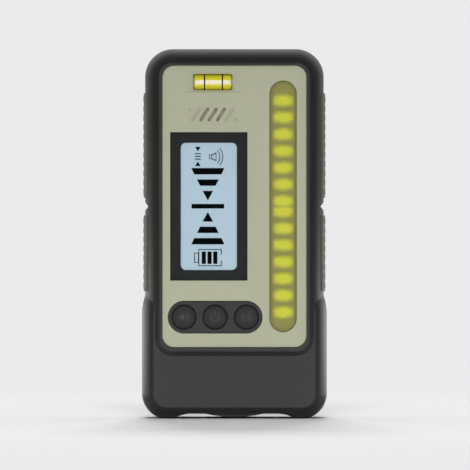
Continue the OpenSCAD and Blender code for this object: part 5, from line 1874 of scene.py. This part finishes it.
# Fibreglass board with green solder resist and rows of tinned pads
BOARD = Printed("green circuit board", "#1D4A2E", "#B9B7A8", 2.54, 0.16, 0.35)
# Woven speaker cloth, drawn at twice its real 0.5 mm pitch so that it shows; its tone is made paler to lift
# the shade deep in the slots, painted light
SPEAKER_CLOTH = Printed("speaker cloth", "#E4DEC8", "#BFB8A0", 1.0, 0.3, 0.8)
# Nickel-plated steel: bright with fine drawing marks
STEEL = Metal("nickel-plated steel", "#C9C7C2", "#A5A39E", 0.28, 0.15, (1.0, 1.0, 6.0))
# Turned brass, lightly tarnished
BRASS = Metal("turned brass", "#D9B45F", "#B8923F", 0.3, 0.12, (6.0, 1.0, 6.0))
# Clear acrylic window with a coating against reflections: hardly any haze, a faint sheen
WINDOW_ACRYLIC = ClearSheet("clear window acrylic", "#8F979B", 0.004, 0.02)
# Cast vial tube of tinted acrylic: the fluid's yellow fills it to the edges; its white band is a painted
# highlight, its darker top, bottom and ends painted shade, and its faint emission painted light
VIAL_ACRYLIC = Banded("tinted vial acrylic", "#E8DD1C", "#F8F0D0", "#C4BC28", 136.35, 0.75, 0.3, 3.2, 0.15,
                      0.2, 0.8, 0.13, (-8.775, 7.943), "#8F871A")
# Cradle under the vial, moulded in yellow ABS so that it lights the vial from behind
CRADLE_ABS = Moulding("yellow vial cradle", "#C9BE20", "#BDB21B", 0.5, 0.6, 0.006, 5.0)
# Vial fluid: yellow-green, with a painted highlight in white along the middle, painted shade darkening it
# towards its top and bottom, and a faint emission that is painted light
VIAL_FLUID = Banded("vial fluid", "#E6DB1F", "#F8F0D0", "#BDB31A", 136.35, 0.85, 0.3, 2.4, 0.3, 0.2,
                    glow=0.13)
# Printed shrink wrap of a battery cell: charcoal with a pale grey band
CELL_WRAP = Banded("cell wrap", "#33373B", "#9AA0A3", "#2A2D30", 44.0, 3.0, 0.2, 30.0, 0.35, 0.4)
# Moulded tinted acrylic over the photodiodes: soft yellow spots on dull olive, with painted shade darkening
# its rim
LENS = SensorLens("tinted sensor lens", "#D6D736", "#918F44", "#807E3D", (19.8, 86.1), 2.1, 6.8, (4.65, 2.35),
                  5.33, 50.8)

# CAD nodes that keep their own shape, by the finish that they take
CARRIED: dict[Finish, tuple[str, ...]] = {
    SEAL_RUBBER: ("shell_seal", "door_seal", "buzzer_gasket", "key_mat"),
    WINDOW_ACRYLIC: ("display_window",),
    MASK_INK: ("display_mask",),
    DISPLAY_GLASS: ("lcd_glass",),
    WHITE_ACRYLIC: ("backlight_guide", "lcd_frame"),
    STRIP_RUBBER: ("lcd_strips",),
    DIODE_RESIN: ("photodiodes",),
    CASE_ABS: ("sensor_baffle",),
    CRADLE_ABS: ("vial_cradle",),
    CHIP_EPOXY: ("sensor_headers", "buzzer", "key_switches", "board_chips"),
    BOARD: ("sensor_board", "main_board"),
    VIAL_FLUID: ("vial_plugs",),
    SPEAKER_CLOTH: ("speaker_mesh",),
    IVORY_POM: ("sound_plunger", "power_plunger", "precision_plunger"),
    STEEL: ("board_screws", "hinge_pin", "positive_contact", "negative_contact", "bridge_contact"),
}


def main() -> None:
    """Builds the receiver piece by piece and sets up the studio."""
    logging.basicConfig(level=logging.INFO, format="%(message)s")
    looks: dict[Finish, bpy.types.Material] = {}

    def look(finish: Finish) -> bpy.types.Material:
        """Gives a finish's material, which is built once.

        Args:
            finish: The finish.

        Returns:
            Its material.
        """
        if finish not in looks:
            looks[finish] = finish.material()
        return looks[finish]

    case, face, keys, bay, fixings = Case(), Face(), Keys(), BatteryBay(), Fixings()
    case.build_front(look(CASE_ABS))
    case.build_rear(look(CASE_ABS))
    case.grips.build(look(GRIP_RUBBER))
    face.build_plate(look(FACE_ABS))
    face.build_sensor(look(LENS))
    face.build_vial(look(VIAL_ACRYLIC), look(VIAL_FLUID), look(SEGMENT_INK))
    keys.build_plate(look(KEY_OVAL))
    keys.build_buttons(look(KEY_RUBBER), look(SIGN_RUBBER))
    Readout().build(look(SEGMENT_INK))
    bay.build_door(case, look(CASE_ABS))
    bay.build_latch(look(CASE_ABS))
    bay.build_cells(look(CELL_WRAP))
    bay.build_springs(look(STEEL))
    fixings.build_insert(look(BRASS))
    fixings.build_screws(look(STEEL))
    for finish, nodes in CARRIED.items():
        for name in nodes:
            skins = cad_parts[name].data.materials
            skins.clear()
            skins.append(look(finish))
            LOG.info("%s: CAD piece dressed", name)
    Studio().build()
    Workpiece.rest()


if __name__ == "__main__":
    main()
